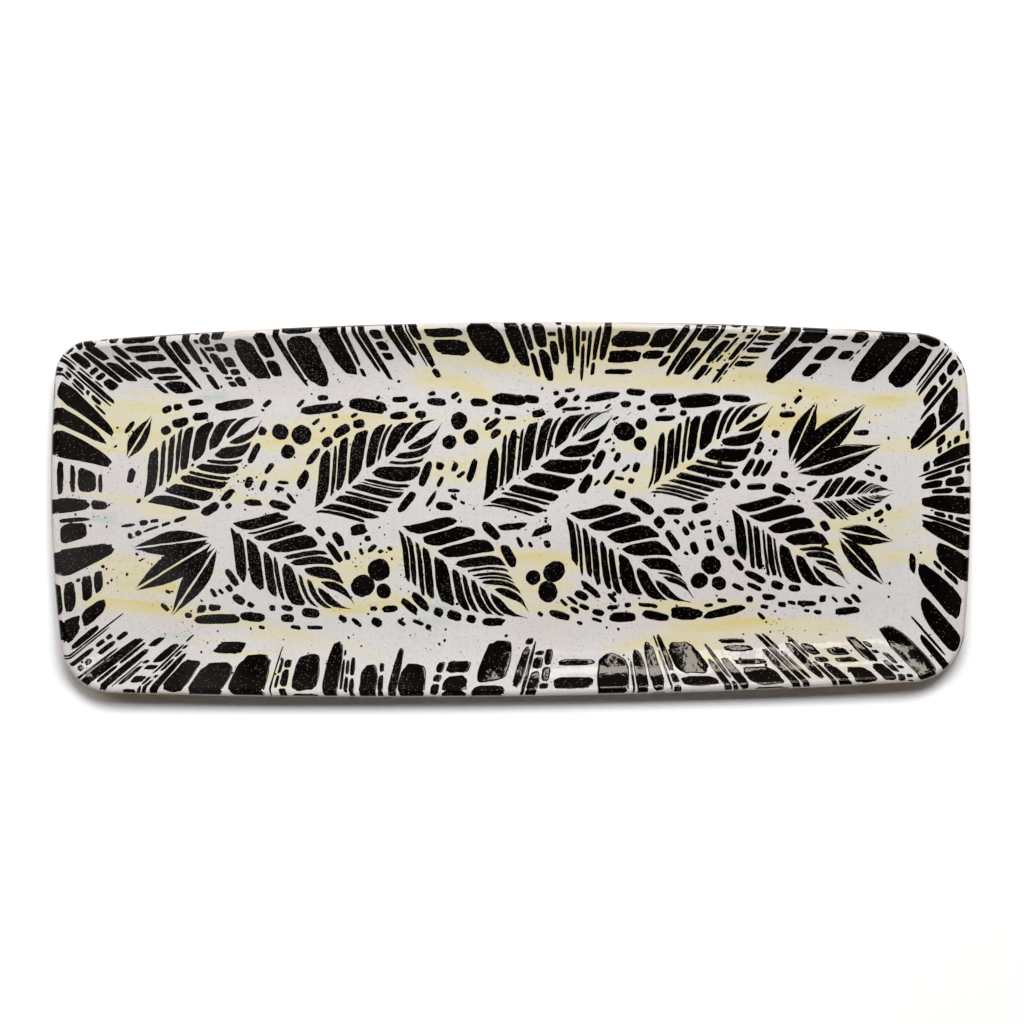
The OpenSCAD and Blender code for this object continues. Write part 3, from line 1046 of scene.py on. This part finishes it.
# %% Draw the stem and the echo strokes
echo_rows = np.array([
    [5.0, 0.98, 4.8, 7.6, 7, 20], [11.6, 0.94, 3.8, 6.4, 5, 16], [17.4, 0.88, 3.0, 5.4, 4, 14],
    [22.8, 0.8, 2.6, 4.6, 3.6, 12],
])
stem_l = 470 * MM
stem_foot_x = -256 * MM
fan_l = 46 * MM
fan_x = -208 * MM
fan_gap = 6 * MM


def echo_line(n, side, row):
    """Strokes along a line outside one edge of a leaf. A row gives its distance from that edge, the share of
    strokes that are kept, and the limits of their widths and lengths, in mm."""
    off, keep, thin, thick, shortest, longest = row * [MM, 1, MM, MM, MM, MM]
    middle, lengths = broken_line(0.92 * leaf_l, shortest, longest)
    share = 0.07 + middle / leaf_l
    edge = [on_platter(np.stack([s * leaf_l, side * (leaf_half(s) + off)], -1), np.full(len(s), n))
            for s in (share, share + 0.001)]
    ways = turned(unit(edge[1] - edge[0]), draw.normal(0, 0.07, len(share)))
    places = edge[0] + draw.normal(0, 0.35, edge[0].shape) * MM
    line = line_rows(places, ways, lengths * leaf_size[n], thin, thick)
    return line[draw.uniform(0, 1, len(line)) < keep]


def stem_line():
    """Strokes along the stem."""
    middle, lengths = broken_line(stem_l)
    x = stem_foot_x + middle
    places = np.stack([x, stem_y(x)], -1)
    ahead = np.stack([x + MM, stem_y(x + MM)], -1)
    return line_rows(places, unit(ahead - places), lengths, 2.4 * MM, 4.6 * MM)


def fan_line(angle):
    """Strokes along a line that spreads from the foot of the stem towards the left wall."""
    middle, lengths = broken_line(fan_l)
    way = np.array([-np.cos(angle), np.sin(angle)])
    places = np.array([fan_x, stem_y(fan_x)]) + (middle + fan_gap)[:, None] * way
    return line_rows(places, np.tile(way, (len(middle), 1)), lengths, 2.2 * MM, 4.4 * MM)


echo_lines = [stem_line()]
echo_lines += [fan_line(np.radians(angle)) for angle in (-9, 9, 18, 27, -18, 36)]
echo_lines += [echo_line(n, side, row) for row in echo_rows for n in leaf for side in (-1, 1)]
echo_lines = [off_the_wall(line, stroke_limit) for line in echo_lines]
echo, taken = gather_lines(echo_lines, taken, 0.5 * MM)
add_marks("stem_and_echo_strokes", line_strokes(echo), fine_rings)

# %% Strew strokes in the gaps
fill_count = 6000
fill_drift = wave_set(6, 50 * MM, 150 * MM, 1.0)


def fill_lines():
    """Single strokes strewn over the floor, the broadest first, each along the leaf whose middle is
    nearest."""
    widths = 2.2 * MM + 4.2 * MM * np.sort(draw.uniform(0, 1, fill_count))[::-1]
    lengths = widths * draw.uniform(1.3, 2.8, fill_count)
    places = draw.uniform(-1, 1, (fill_count, 2)) * [230 * MM, 80 * MM]
    middles = on_platter(np.tile([leaf_l / 2, 0], (len(leaf), 1)), leaf)
    nearest = np.linalg.norm(places[:, None] - middles, axis=-1).argmin(1)
    angle = leaf_turn[nearest] + draw.normal(0, 0.25, fill_count)
    line = np.column_stack([places, spokes(angle), lengths, widths])
    line = off_the_wall(line, fill_limit)
    return line[waves(line[:, :2], fill_drift) > -0.7, None]


fill, _ = gather_lines(fill_lines(), taken, 0.9 * MM)
add_marks("strewn_strokes", line_strokes(fill), fine_rings)

# %% [markdown]
# The border.
# Slanting blades ring the wall and run off over the lip. Some are one or two broad strokes, some a bundle of
# slivers that break part way, and some a ladder of short strokes. Each stroke is a squared circle mapped
# onto the wall: one direction counts places round the outline, the other runs from the lip to the floor.
# That mapping fans the blades out round the corners by itself.

# %% Ring the wall with blades
blade_count = 78
blade_columns = 36
blade_gap = 0.4
blade_hair = 0.11
break_half = 0.55 * MM
blade_width = draw.uniform(3.6, 10, blade_count)
blade_width = blade_width * around / blade_width.sum()
blade_start = np.cumsum(blade_width) - blade_width
blade_kind = draw.choice(3, blade_count, p=[0.48, 0.27, 0.25])


def blade_parts():
    """Rows of the blade's middle, limits round the outline, all in columns, and limits from lip to floor, one
    row for each unbroken stroke."""
    parts = []
    for start, width, kind in zip(blade_start, blade_width, blade_kind):
        cut_count = draw.integers(*((0, 2), (2, 4), (0, 3))[kind])
        cuts = np.sort(draw.uniform(0.2, 0.8, cut_count))
        edges = start + width * np.concatenate([[0], cuts, [1]])
        edges[[0, -1]] += [blade_gap - blade_hair, blade_hair - blade_gap]
        for low, high in zip(edges[:-1] + blade_hair, edges[1:] - blade_hair):
            outer = -3 if draw.uniform() < 0.62 else draw.uniform(1, 7)
            inner = draw.uniform(20, 39)
            break_count = draw.integers(*((0, 2), (0, 3), (4, 7))[kind])
            breaks = np.sort(draw.uniform(outer + 3, inner - 3, break_count)) * MM
            starts = np.concatenate([[outer * MM], breaks + break_half])
            ends = np.concatenate([breaks - break_half, [inner * MM]])
            parts += [[start + width / 2, low, high, *limits] for limits in zip(starts, ends)]
    parts = np.array(parts)
    return parts[(parts[:, 2] - parts[:, 1] > 0.45) & (parts[:, 4] - parts[:, 3] > 1.8 * MM)]


def blade_shape(parts):
    """Shape of the blades: a squared circle stretched between a stroke's limits, narrowed towards the floor
    and leaned along the outline by an amount that swings slowly round the platter."""
    middle, low, high, outer, inner = parts.T[..., None]
    x_line, y_line = squared_circle(len(parts), blade_columns, 0.055, 0.62, 0.6)
    across_line = ragged(between(low, high, x_line), 0.03)
    inset_line = np.maximum(ragged(between(outer, inner, y_line), 0.12 * MM), 0.2 * MM)
    lean = 5.5 * np.sin(2 * np.pi * 5 * middle / around + 1.0)

    def shape(share):
        across, inset = drawn_in(across_line, share), drawn_in(inset_line, share)
        depth = inset / floor_inset
        narrowed = middle + (across - middle) * (1 - 0.3 * depth**2)
        return on_rings(narrowed + lean * depth, inset)

    return shape


blade_rows = blade_parts()
at_the_lip = blade_rows[:, 3] < 8 * MM
is_long = blade_rows[:, 4] - blade_rows[:, 3] > 9 * MM
blade_groups = {
    "lip_blades": (at_the_lip & is_long, lip_rings),
    "lip_dashes": (at_the_lip & ~is_long, lip_rings),
    "wall_blades": (~at_the_lip, bold_rings),
}
for name, (chosen, rings) in blade_groups.items():
    add_marks(name, blade_shape(blade_rows[chosen]), rings)

# %% [markdown]
# The splatter.
# The flick of a full brush leaves hundreds of specks, some loose all over the face and some in drifts where
# the brush was shaken. They are the smallest marks, so each has few faces.

# %% Flick the splatter
speck_count = 700
drift_count = 46
drift_specks = 900
drift_spread = 8 * MM
drift_middles = draw.uniform(-1, 1, (drift_count, 2)) * [half_l, half_w]
loose_places = draw.uniform(-1, 1, (speck_count, 2)) * [half_l, half_w]
drift_places = drift_middles[draw.integers(0, drift_count, drift_specks)]
drift_places = drift_places + draw.normal(0, drift_spread, drift_places.shape)
speck_places = np.concatenate([loose_places, drift_places])
speck_places = speck_places[inset_at(speck_places) > 7 * MM]
speck_size = (0.26 + 0.8 * draw.power(0.5, len(speck_places)) ** 2) * MM
speck_size = np.where(draw.uniform(0, 1, len(speck_size)) < 0.05, speck_size + 0.9 * MM, speck_size)
speck_ways = turned(np.tile([1.0, 0.0], (len(speck_places), 1)), draw.uniform(0, np.pi, len(speck_places)))
speck_shape = strokes(speck_places, speck_ways, 2.5 * speck_size, 1.9 * speck_size, 8, 1.0)
add_marks("splatter", speck_shape, speck_rings)

# %% [markdown]
# Tools for the finishes.
# A finish is a small tree of nodes. One helper adds a node and plugs values or other nodes into it. Effects
# that several finishes share are node groups with named sockets: brush streaks, tiny specks and the skin of
# a fired glaze. Every pattern reads Object coordinates, which are metres on the platter.

# %% Make the helpers for finishes
def add_node(tree, kind, values=None, **settings):
    """Adds a node, sets its options, and gives each named or numbered input a value or a link."""
    made = tree.nodes.new(kind)
    for option, value in settings.items():
        setattr(made, option, value)
    for socket, value in (values or {}).items():
        if isinstance(value, bpy.types.NodeSocket):
            tree.links.new(value, made.inputs[socket])
        else:
            made.inputs[socket].default_value = value
    return made


def colour(red, green, blue):
    """Linear colour of one written as 0 to 255 on screen."""
    screen = np.array([red, green, blue]) / 255
    linear = np.where(screen <= 0.04045, screen / 12.92, ((screen + 0.055) / 1.055) ** 2.4)
    return (*linear.tolist(), 1.0)


def blend(tree, share, first, second):
    """Colour between two, by a share."""
    mixer = add_node(tree, "ShaderNodeMix", {0: share, 6: first, 7: second}, data_type="RGBA")
    return mixer.outputs[2]


def sums(tree, operation, first, second):
    """One sum of two numbers, kept between 0 and 1."""
    made = add_node(tree, "ShaderNodeMath", {0: first, 1: second}, operation=operation, use_clamp=True)
    return made.outputs[0]


def scaled_sum(tree, value, factor, added):
    """A number times a factor, with another added."""
    values = {0: value, 1: factor, 2: added}
    return add_node(tree, "ShaderNodeMath", values, operation="MULTIPLY_ADD").outputs[0]


def vector_sum(tree, operation, first, second=(0, 0, 0)):
    """One sum of two vectors."""
    return add_node(tree, "ShaderNodeVectorMath", {0: first, 1: second}, operation=operation).outputs[0]


def ranged(tree, value, low, high, to_low, to_high):
    """A number moved from one range to another."""
    made = add_node(tree, "ShaderNodeMapRange", {0: value, 1: low, 2: high, 3: to_low, 4: to_high})
    return made.outputs[0]


def start_group(name, inputs, output):
    """Empty node group with a Place, named numbers and one output, and its two ends."""
    group = bpy.data.node_groups.new(name, "ShaderNodeTree")
    group.interface.new_socket("Place", in_out="INPUT", socket_type="NodeSocketVector")
    for socket, value in inputs.items():
        made = group.interface.new_socket(socket, in_out="INPUT", socket_type="NodeSocketFloat")
        made.default_value = value
    group.interface.new_socket(output, in_out="OUTPUT", socket_type="NodeSocketFloat")
    return group, group.nodes.new("NodeGroupInput").outputs, group.nodes.new("NodeGroupOutput").inputs


def use_group(tree, group, values):
    """Places a group in a finish and returns its outputs."""
    return add_node(tree, "ShaderNodeGroup", values, node_tree=group).outputs


def start_finish(name):
    """Empty material with its Principled shader and the Object coordinates."""
    material = bpy.data.materials.new(name)
    material.use_nodes = True
    tree = material.node_tree
    shader = tree.nodes["Principled BSDF"]
    place = add_node(tree, "ShaderNodeTexCoord").outputs["Object"]
    return material, tree, shader, place


def plug(tree, shader, **links):
    """Links outputs to the shader's inputs, with underscores for spaces in their names."""
    for socket, output in links.items():
        tree.links.new(output, shader.inputs[socket.replace("_", " ")])


print("helpers for finishes are ready")

# %% Build the shared effects
def noise(tree, place, scale, detail=2.0, roughness=0.5):
    """Cloudy pattern from 0 to 1, with so many clouds a metre."""
    values = {"Vector": place, "Scale": scale, "Detail": detail, "Roughness": roughness}
    return add_node(tree, "ShaderNodeTexNoise", values).outputs["Fac"]


streaks, ends, out = start_group("brush streaks", {"Along": 10.0, "Across": 200.0}, "Streak")
stretch = add_node(streaks, "ShaderNodeCombineXYZ", {0: ends["Along"], 1: ends["Across"], 2: ends["Along"]})
sway = ranged(streaks, noise(streaks, ends["Place"], 5.0, 1.0), 0.0, 1.0, -0.03, 0.03)
swayed = add_node(streaks, "ShaderNodeCombineXYZ", {1: sway}).outputs[0]
bent = vector_sum(streaks, "ADD", ends["Place"], swayed)
stretched = vector_sum(streaks, "MULTIPLY", bent, stretch.outputs[0])
streaks.links.new(noise(streaks, stretched, 1.0, 4.0, 0.6), out["Streak"])

specks, ends, out = start_group("specks", {"Count": 300.0, "Size": 0.2, "Share": 0.3}, "Mask")
cells = add_node(specks, "ShaderNodeTexVoronoi", {"Vector": ends["Place"], "Scale": ends["Count"]})
chance = add_node(specks, "ShaderNodeSeparateColor", {0: cells.outputs["Color"]})
filled = sums(specks, "LESS_THAN", chance.outputs[0], ends["Share"])
small = sums(specks, "LESS_THAN", cells.outputs["Distance"], ends["Size"])
specks.links.new(sums(specks, "MULTIPLY", filled, small), out["Mask"])

skin, ends, out = start_group("glaze skin", {"Fine": 500.0, "Broad": 120.0, "Grain": 1.0}, "Height")
fine = noise(skin, ends["Place"], ends["Fine"], 1.0)
broad = noise(skin, ends["Place"], ends["Broad"], 1.0)
skin.links.new(scaled_sum(skin, fine, ends["Grain"], broad), out["Height"])


def streaked(tree, place, along, across):
    """Brush streaks, so many a metre along and across."""
    return use_group(tree, streaks, {"Place": place, "Along": along, "Across": across})["Streak"]


def speckled(tree, place, tone, count, size, share, tint):
    """A colour with specks of another: so many places for one a metre, of a size, a share of them filled."""
    values = {"Place": place, "Count": count, "Size": size, "Share": share}
    return blend(tree, use_group(tree, specks, values)["Mask"], tone, colour(*tint))


def close_finish(tree, shader, tone, cloud, rough_limits, skin_values, depth, strength=1.0):
    """Plugs in a colour, a gloss that varies with a cloud, and the bump of a skin of some depth."""
    height = use_group(tree, skin, skin_values)["Height"]
    bump = add_node(tree, "ShaderNodeBump", {"Strength": strength, "Distance": depth, "Height": height})
    rough = ranged(tree, cloud, 0.3, 0.7, *rough_limits)
    plug(tree, shader, Base_Color=tone, Roughness=rough, Normal=bump.outputs[0])


print("shared effects:", ", ".join(group.name for group in (streaks, specks, skin)))

# %% [markdown]
# The white glaze.
# A cool, glossy white, brushed thin, with faint streaks, a pink cast in places, pale washes, a blush of clay
# where it breaks over the lip, and grey and iron specks. Its gloss is slightly uneven. The washes come from
# the numbers kept on the face, and the streaks break them up.

# %% Finish the white face
def white_finish(name, on_face):
    """White glaze; on the face it also carries the washes and the thin lip."""
    material, tree, shader, place = start_finish(name)
    fine_streak = streaked(tree, place, 22.0, 420.0)
    cross_streak = streaked(tree, place, 420.0, 22.0)
    cloud = noise(tree, place, 14.0, 3.0)
    pink_cloud = noise(tree, place, 9.0, 3.0, 0.6)
    grain = noise(tree, place, 800.0, 1.0)
    weave = sums(tree, "MULTIPLY", sums(tree, "ADD", fine_streak, cross_streak), 0.5)
    woven = ranged(tree, weave, 0.38, 0.62, 0.0, 1.0)
    tone = blend(tree, woven, colour(217, 217, 219), colour(228, 227, 229))
    tone = blend(tree, ranged(tree, cloud, 0.35, 0.75, 0.0, 0.5), tone, colour(217, 215, 216))
    tone = blend(tree, ranged(tree, pink_cloud, 0.48, 0.72, 0.0, 0.5), tone, colour(220, 209, 207))
    tone = blend(tree, ranged(tree, grain, 0.5, 0.75, 0.0, 0.42), tone, colour(190, 186, 186))
    dust_share = ranged(tree, pink_cloud, 0.35, 0.7, 0.1, 0.5)
    tone = speckled(tree, place, tone, 560.0, 0.17, dust_share, (160, 157, 156))
    if on_face:
        wide_streak = streaked(tree, place, 8.0, 120.0)
        deep_streak = streaked(tree, place, 16.0, 150.0)

        def washed_over(tone, kept, streak, limits, most, tint):
            """A colour washed with another: the number kept on the face is pushed up and down by streaks,
            then cut off sharply, which leaves brush edges."""
            kept_number = add_node(tree, "ShaderNodeAttribute", attribute_name=kept).outputs["Fac"]
            pushed = scaled_sum(tree, streak, 1.5, kept_number)
            share = sums(tree, "MULTIPLY", ranged(tree, pushed, *limits, 0.0, 1.0), most)
            return blend(tree, share, tone, colour(*tint))

        tone = washed_over(tone, "yellow_wash", wide_streak, (0.98, 1.3), 0.55, (226, 219, 168))
        tone = washed_over(tone, "yellow_wash", deep_streak, (1.36, 1.7), 0.7, (222, 207, 126))
        tone = washed_over(tone, "green_wash", wide_streak, (1.15, 1.55), 0.65, (172, 197, 190))
        thin = add_node(tree, "ShaderNodeAttribute", attribute_name="thin_glaze").outputs["Fac"]
        blush = sums(tree, "MULTIPLY", thin, ranged(tree, cloud, 0.4, 0.7, 0.02, 0.3))
        tone = blend(tree, blush, tone, colour(214, 190, 180))
        # the outermost edge of the lip gets a dark brown line: bare clay, painted darker than the clay as
        # shade
        bare_patch = ranged(tree, noise(tree, place, 11.0, 1.0), 0.42, 0.56, 0.9, 0.1)
        bare_edge_and_shade = sums(tree, "MULTIPLY", ranged(tree, thin, 1.1, 1.8, 0.0, 1.0), bare_patch)
        tone = blend(tree, bare_edge_and_shade, tone, colour(122, 105, 90))
    tone = speckled(tree, place, tone, 260.0, 0.07, 0.3, (96, 88, 80))
    skin_values = {"Place": place, "Fine": 700.0, "Broad": 230.0, "Grain": 0.12}
    close_finish(tree, shader, tone, cloud, (0.03, 0.07), skin_values, 0.12 * MM)
    shader.inputs["IOR"].default_value = 1.5
    return material


white_face.data.materials.append(white_finish("white glaze on the face", True))
back_band.data.materials.append(white_finish("white glaze behind the lip", False))
print("finished the white face and the band behind the lip")

# %% [markdown]
# The black glaze.
# It is deep and glossier than the white, with a fine pebbled skin left by bubbles. Pale specks are painted
# glints off that skin, thicker towards the left end, where the black is also greyed by a painted sheen.

# %% Finish the black marks
def black_finish():
    """Near-black gloss with a pebbled skin, a painted grey sheen at the left end and pale painted glints that
    thin out from left to right.
    """
    material, tree, shader, place = start_finish("black glaze")
    cloud = noise(tree, place, 45.0, 3.0)
    side = add_node(tree, "ShaderNodeSeparateXYZ", {0: place}).outputs[0]
    # painted sheen: the black is greyed in clouds towards the left end, where a reflection lay
    sheen_to_left = ranged(tree, side, -0.3, 0.06, 1.0, 0.08)
    painted_left_sheen = sums(tree, "MULTIPLY", sheen_to_left, ranged(tree, cloud, 0.35, 0.65, 0.1, 0.9))
    tone = blend(tree, painted_left_sheen, colour(3, 2, 2), colour(25, 23, 22))
    # more painted sheen: grey patches of black at the left end
    sheen_patches = ranged(tree, noise(tree, place, 10.0, 1.0), 0.54, 0.62, 0.0, 1.0)
    thinned = sums(tree, "MULTIPLY", sheen_patches, ranged(tree, side, -0.25, -0.1, 0.75, 0.0))
    tone = blend(tree, thinned, tone, colour(46, 45, 46))
    # pale specks, more of them towards the left: painted glints off the pebbled skin
    glint_patch = ranged(tree, noise(tree, place, 14.0, 1.0), 0.36, 0.6, 0.3, 1.0)
    left_glint_share = ranged(tree, side, -0.28, -0.18, 0.5, 0.95)
    share = sums(tree, "MINIMUM", left_glint_share, ranged(tree, side, -0.15, 0.06, 0.95, 0.3))
    share = sums(tree, "MULTIPLY", share, glint_patch)
    tone = speckled(tree, place, tone, 860.0, 0.26, share, (100, 98, 96))
    skin_values = {"Place": place, "Fine": 800.0, "Broad": 230.0, "Grain": 0.15}
    close_finish(tree, shader, tone, cloud, (0.03, 0.08), skin_values, 0.1 * MM)
    shader.inputs["IOR"].default_value = 1.74
    return material


black_glaze = black_finish()
for piece in black_pieces:
    piece.data.materials.append(black_glaze)
print("finished the black marks")

# %% [markdown]
# The bare clay.
# Fired red clay is matt, mottled by the kiln and full of grog: crushed pot that shows as lighter and darker
# grains. It shows only underneath and below the band of glaze.

# %% Finish the clay
def clay_finish():
    """Matt red clay with slow mottling, pale and dark grains, and a grainy skin."""
    material, tree, shader, place = start_finish("fired clay")
    cloud = noise(tree, place, 24.0, 4.0, 0.6)
    tone = blend(tree, ranged(tree, cloud, 0.3, 0.7, 0.0, 1.0), colour(152, 98, 74), colour(190, 136, 108))
    tone = speckled(tree, place, tone, 420.0, 0.3, 0.3, (208, 164, 136))
    tone = speckled(tree, place, tone, 290.0, 0.26, 0.16, (112, 70, 54))
    skin_values = {"Place": place, "Fine": 1100.0, "Broad": 300.0}
    close_finish(tree, shader, tone, cloud, (0.75, 0.92), skin_values, 0.25 * MM, 0.7)
    return material


fired_clay = clay_finish()
for piece in (clay_slab, *strip_pieces):
    piece.data.materials.append(fired_clay)
print("finished the clay")

# %% [markdown]
# The studio.
# The floor is plain and pale, with a warm tint painted under the lip as warm shade. Close to the platter it
# only reflects, so that the shadow stays, and further out a little of its own white joins in for the camera,
# so that it runs out to a clean background.

# %% Lay the floor
floor_half = 4.0
floor_drop = -0.1 * MM
floor_corners = floor_half * np.array([[-1, -1], [1, -1], [1, 1], [-1, 1]])
floor_points = np.concatenate([floor_corners, np.full((4, 1), floor_drop)], -1)
floor_mesh = build_mesh("studio_floor", floor_points, np.array([[0, 1, 2, 3]]), no_triangles)
studio_floor = bpy.data.objects.new("studio_floor", floor_mesh)
bpy.context.scene.collection.objects.link(studio_floor)


def seen_directly(tree):
    """1 for rays from the camera and for those seen in a mirror or through glass."""
    path = add_node(tree, "ShaderNodeLightPath").outputs
    seen = sums(tree, "ADD", path["Is Camera Ray"], path["Is Glossy Ray"])
    return sums(tree, "ADD", seen, path["Is Transmission Ray"])


shadow_corner = 44 * MM
shadow_fade = 7 * MM
end_fade = 12 * MM
shadow_shift = (-2 * MM, -7.5 * MM, 0.0)


def floor_finish():
    """White floor with its own light outside a soft oblong round the platter, only where seen directly. That
    light cuts off the shadow, faster along the sides than past the ends, and under the lip a warm tint is
    painted into the floor as warm shade."""
    material, tree, shader, place = start_finish("studio floor")
    inner = (half_l + 1 * MM - shadow_corner, half_w - shadow_corner, 1.0)
    apart = vector_sum(tree, "ABSOLUTE", vector_sum(tree, "SUBTRACT", place, shadow_shift))
    apart = vector_sum(tree, "MAXIMUM", vector_sum(tree, "SUBTRACT", apart, inner))
    away = add_node(tree, "ShaderNodeVectorMath", {0: apart}, operation="LENGTH").outputs["Value"]
    past_end = add_node(tree, "ShaderNodeSeparateXYZ", {0: apart}).outputs[0]
    fade_limits = (shadow_corner + shadow_fade, shadow_corner + end_fade)
    faded = ranged(tree, past_end, shadow_corner - 10 * MM, shadow_corner, *fade_limits)
    beside = ranged(tree, away, shadow_corner, faded, 0.0, 0.3)
    far_out = ranged(tree, away, 0.1, 2.0, 0.0, 0.97)
    glow = sums(tree, "MULTIPLY", sums(tree, "ADD", beside, far_out), seen_directly(tree))
    tint = blend(tree, noise(tree, place, 3.0), colour(247, 250, 254), colour(250, 252, 255))
    # painted warm shade: a warm tint in the floor's colour right under the lip
    painted_warm_shade = ranged(tree, away, shadow_corner - 8 * MM, shadow_corner - 1 * MM, 1.0, 0.0)
    tint = blend(tree, painted_warm_shade, tint, colour(250, 236, 214))
    plug(tree, shader, Base_Color=tint, Emission_Strength=glow)
    shader.inputs["Emission Color"].default_value = (1, 1, 1, 1)
    shader.inputs["Roughness"].default_value = 0.9
    shader.inputs["Specular IOR Level"].default_value = 0.0
    return material


studio_floor.data.materials.append(floor_finish())
print("floor:", 2 * floor_half, "m square")

# %% [markdown]
# The light.
# One large soft box hangs behind the platter, so that the shadow shows in front and as a thin line at the
# ends. A photographer of glazed ware puts polarising film on the lamp and the lens, which kills its mirror
# image, so this box is left out of glossy reflections, and so are two weaker ones that even out the light,
# on the left and on the right. Three more, further back, have no film. They leave the long, forked reflection
# on the front wall, and can't be seen mirrored in the flat floor, so black glaze stays black. The rest is a
# dim room.

# %% Set the lights
box_z = 1.5
room_zenith = 0.012
room_tint = (1.0, 0.78, 0.6, 1.0)
even_tint = (1.0, 0.988, 0.972)
key_tint = (1.0, 0.91, 0.8)


def soft_box(name, x_limits, y_limits, radiance, tint):
    """Level rectangular lamp between limits, facing down. Its power is pi times its area times
    its radiance."""
    lamp = bpy.data.lights.new(name, "AREA")
    lamp.shape = "RECTANGLE"
    lamp.size = x_limits[1] - x_limits[0]
    lamp.size_y = y_limits[1] - y_limits[0]
    lamp.energy = np.pi * lamp.size * lamp.size_y * radiance
    lamp.color = tint
    light = bpy.data.objects.new(name, lamp)
    light.location = (sum(x_limits) / 2, sum(y_limits) / 2, box_z)
    bpy.context.scene.collection.objects.link(light)
    return light


even_boxes = [
    soft_box("main_soft_box", (-0.29, 0.26), (0.48, 0.98), 27.0, even_tint),
    soft_box("left_soft_box", (-1.12, -0.62), (0.42, 0.85), 9.5, even_tint),
    soft_box("right_soft_box", (0.75, 1.25), (0.42, 0.85), 1.0, even_tint),
]
for box in even_boxes:
    box.visible_glossy = False
key_boxes = [
    soft_box("key_soft_box", (0.09, 0.4), (0.45, 1.34), 5.0, key_tint),
    soft_box("key_upper_edge", (0.4, 0.62), (0.45, 0.57), 5.0, key_tint),
    soft_box("key_lower_edge", (0.4, 0.66), (1.24, 1.4), 5.0, key_tint),
]


def room_light():
    """World that grows brighter from overhead to the horizon, most of all at the back, and is white to the
    camera."""
    world = bpy.data.worlds.new("studio room")
    world.use_nodes = True
    tree = world.node_tree
    background = tree.nodes["Background"]
    way = add_node(tree, "ShaderNodeTexCoord").outputs["Generated"]
    parts = add_node(tree, "ShaderNodeSeparateXYZ", {0: way}).outputs
    low = ranged(tree, parts[2], 0.0, 1.0, 1.0, 0.0)
    low = sums(tree, "MULTIPLY", low, low)
    back = ranged(tree, parts[1], -0.9, 0.9, 0.15, 0.45)
    level = scaled_sum(tree, low, back, room_zenith)
    seen = add_node(tree, "ShaderNodeLightPath").outputs["Is Camera Ray"]
    strength = add_node(tree, "ShaderNodeMix", {0: seen, 2: level, 3: 1.0}, data_type="FLOAT")
    tree.links.new(strength.outputs[0], background.inputs["Strength"])
    tree.links.new(blend(tree, seen, room_tint, (1, 1, 1, 1)), background.inputs["Color"])
    return world


bpy.context.scene.world = room_light()
bpy.context.scene.view_settings.view_transform = "Standard"
print("lights:", ", ".join(box.name for box in even_boxes + key_boxes))

# %% [markdown]
# The camera.
# The photograph was taken almost straight down, from a little behind and to the left, with a long lens. The
# view is built from three axes, because straight down leaves a tracking constraint no way up to hold to.

# %% Place the camera
camera_distance = 1.4
lean_back = np.radians(4.69)
lean_left = np.radians(2.27)
camera_roll = np.radians(-0.43)
aim = Vector((-2.07 * MM, -0.86 * MM, cad_high.z))
lens = bpy.data.cameras.new("camera")
lens.lens = 75.67
lens.sensor_width = 36.0
camera = bpy.data.objects.new("camera", lens)
backward = Vector((-np.tan(lean_left), np.tan(lean_back), 1)).normalized()
rightward = Vector((0, 1, 0)).cross(backward).normalized()
upward = backward.cross(rightward)
axes = Matrix((rightward, upward, backward)).transposed().to_4x4()
place = Matrix.Translation(aim + camera_distance * backward)
camera.matrix_world = place @ axes @ Matrix.Rotation(camera_roll, 4, "Z")
bpy.context.scene.collection.objects.link(camera)
bpy.context.scene.camera = camera
print("camera", camera_distance, "m from the rim, lens", lens.lens, "mm")
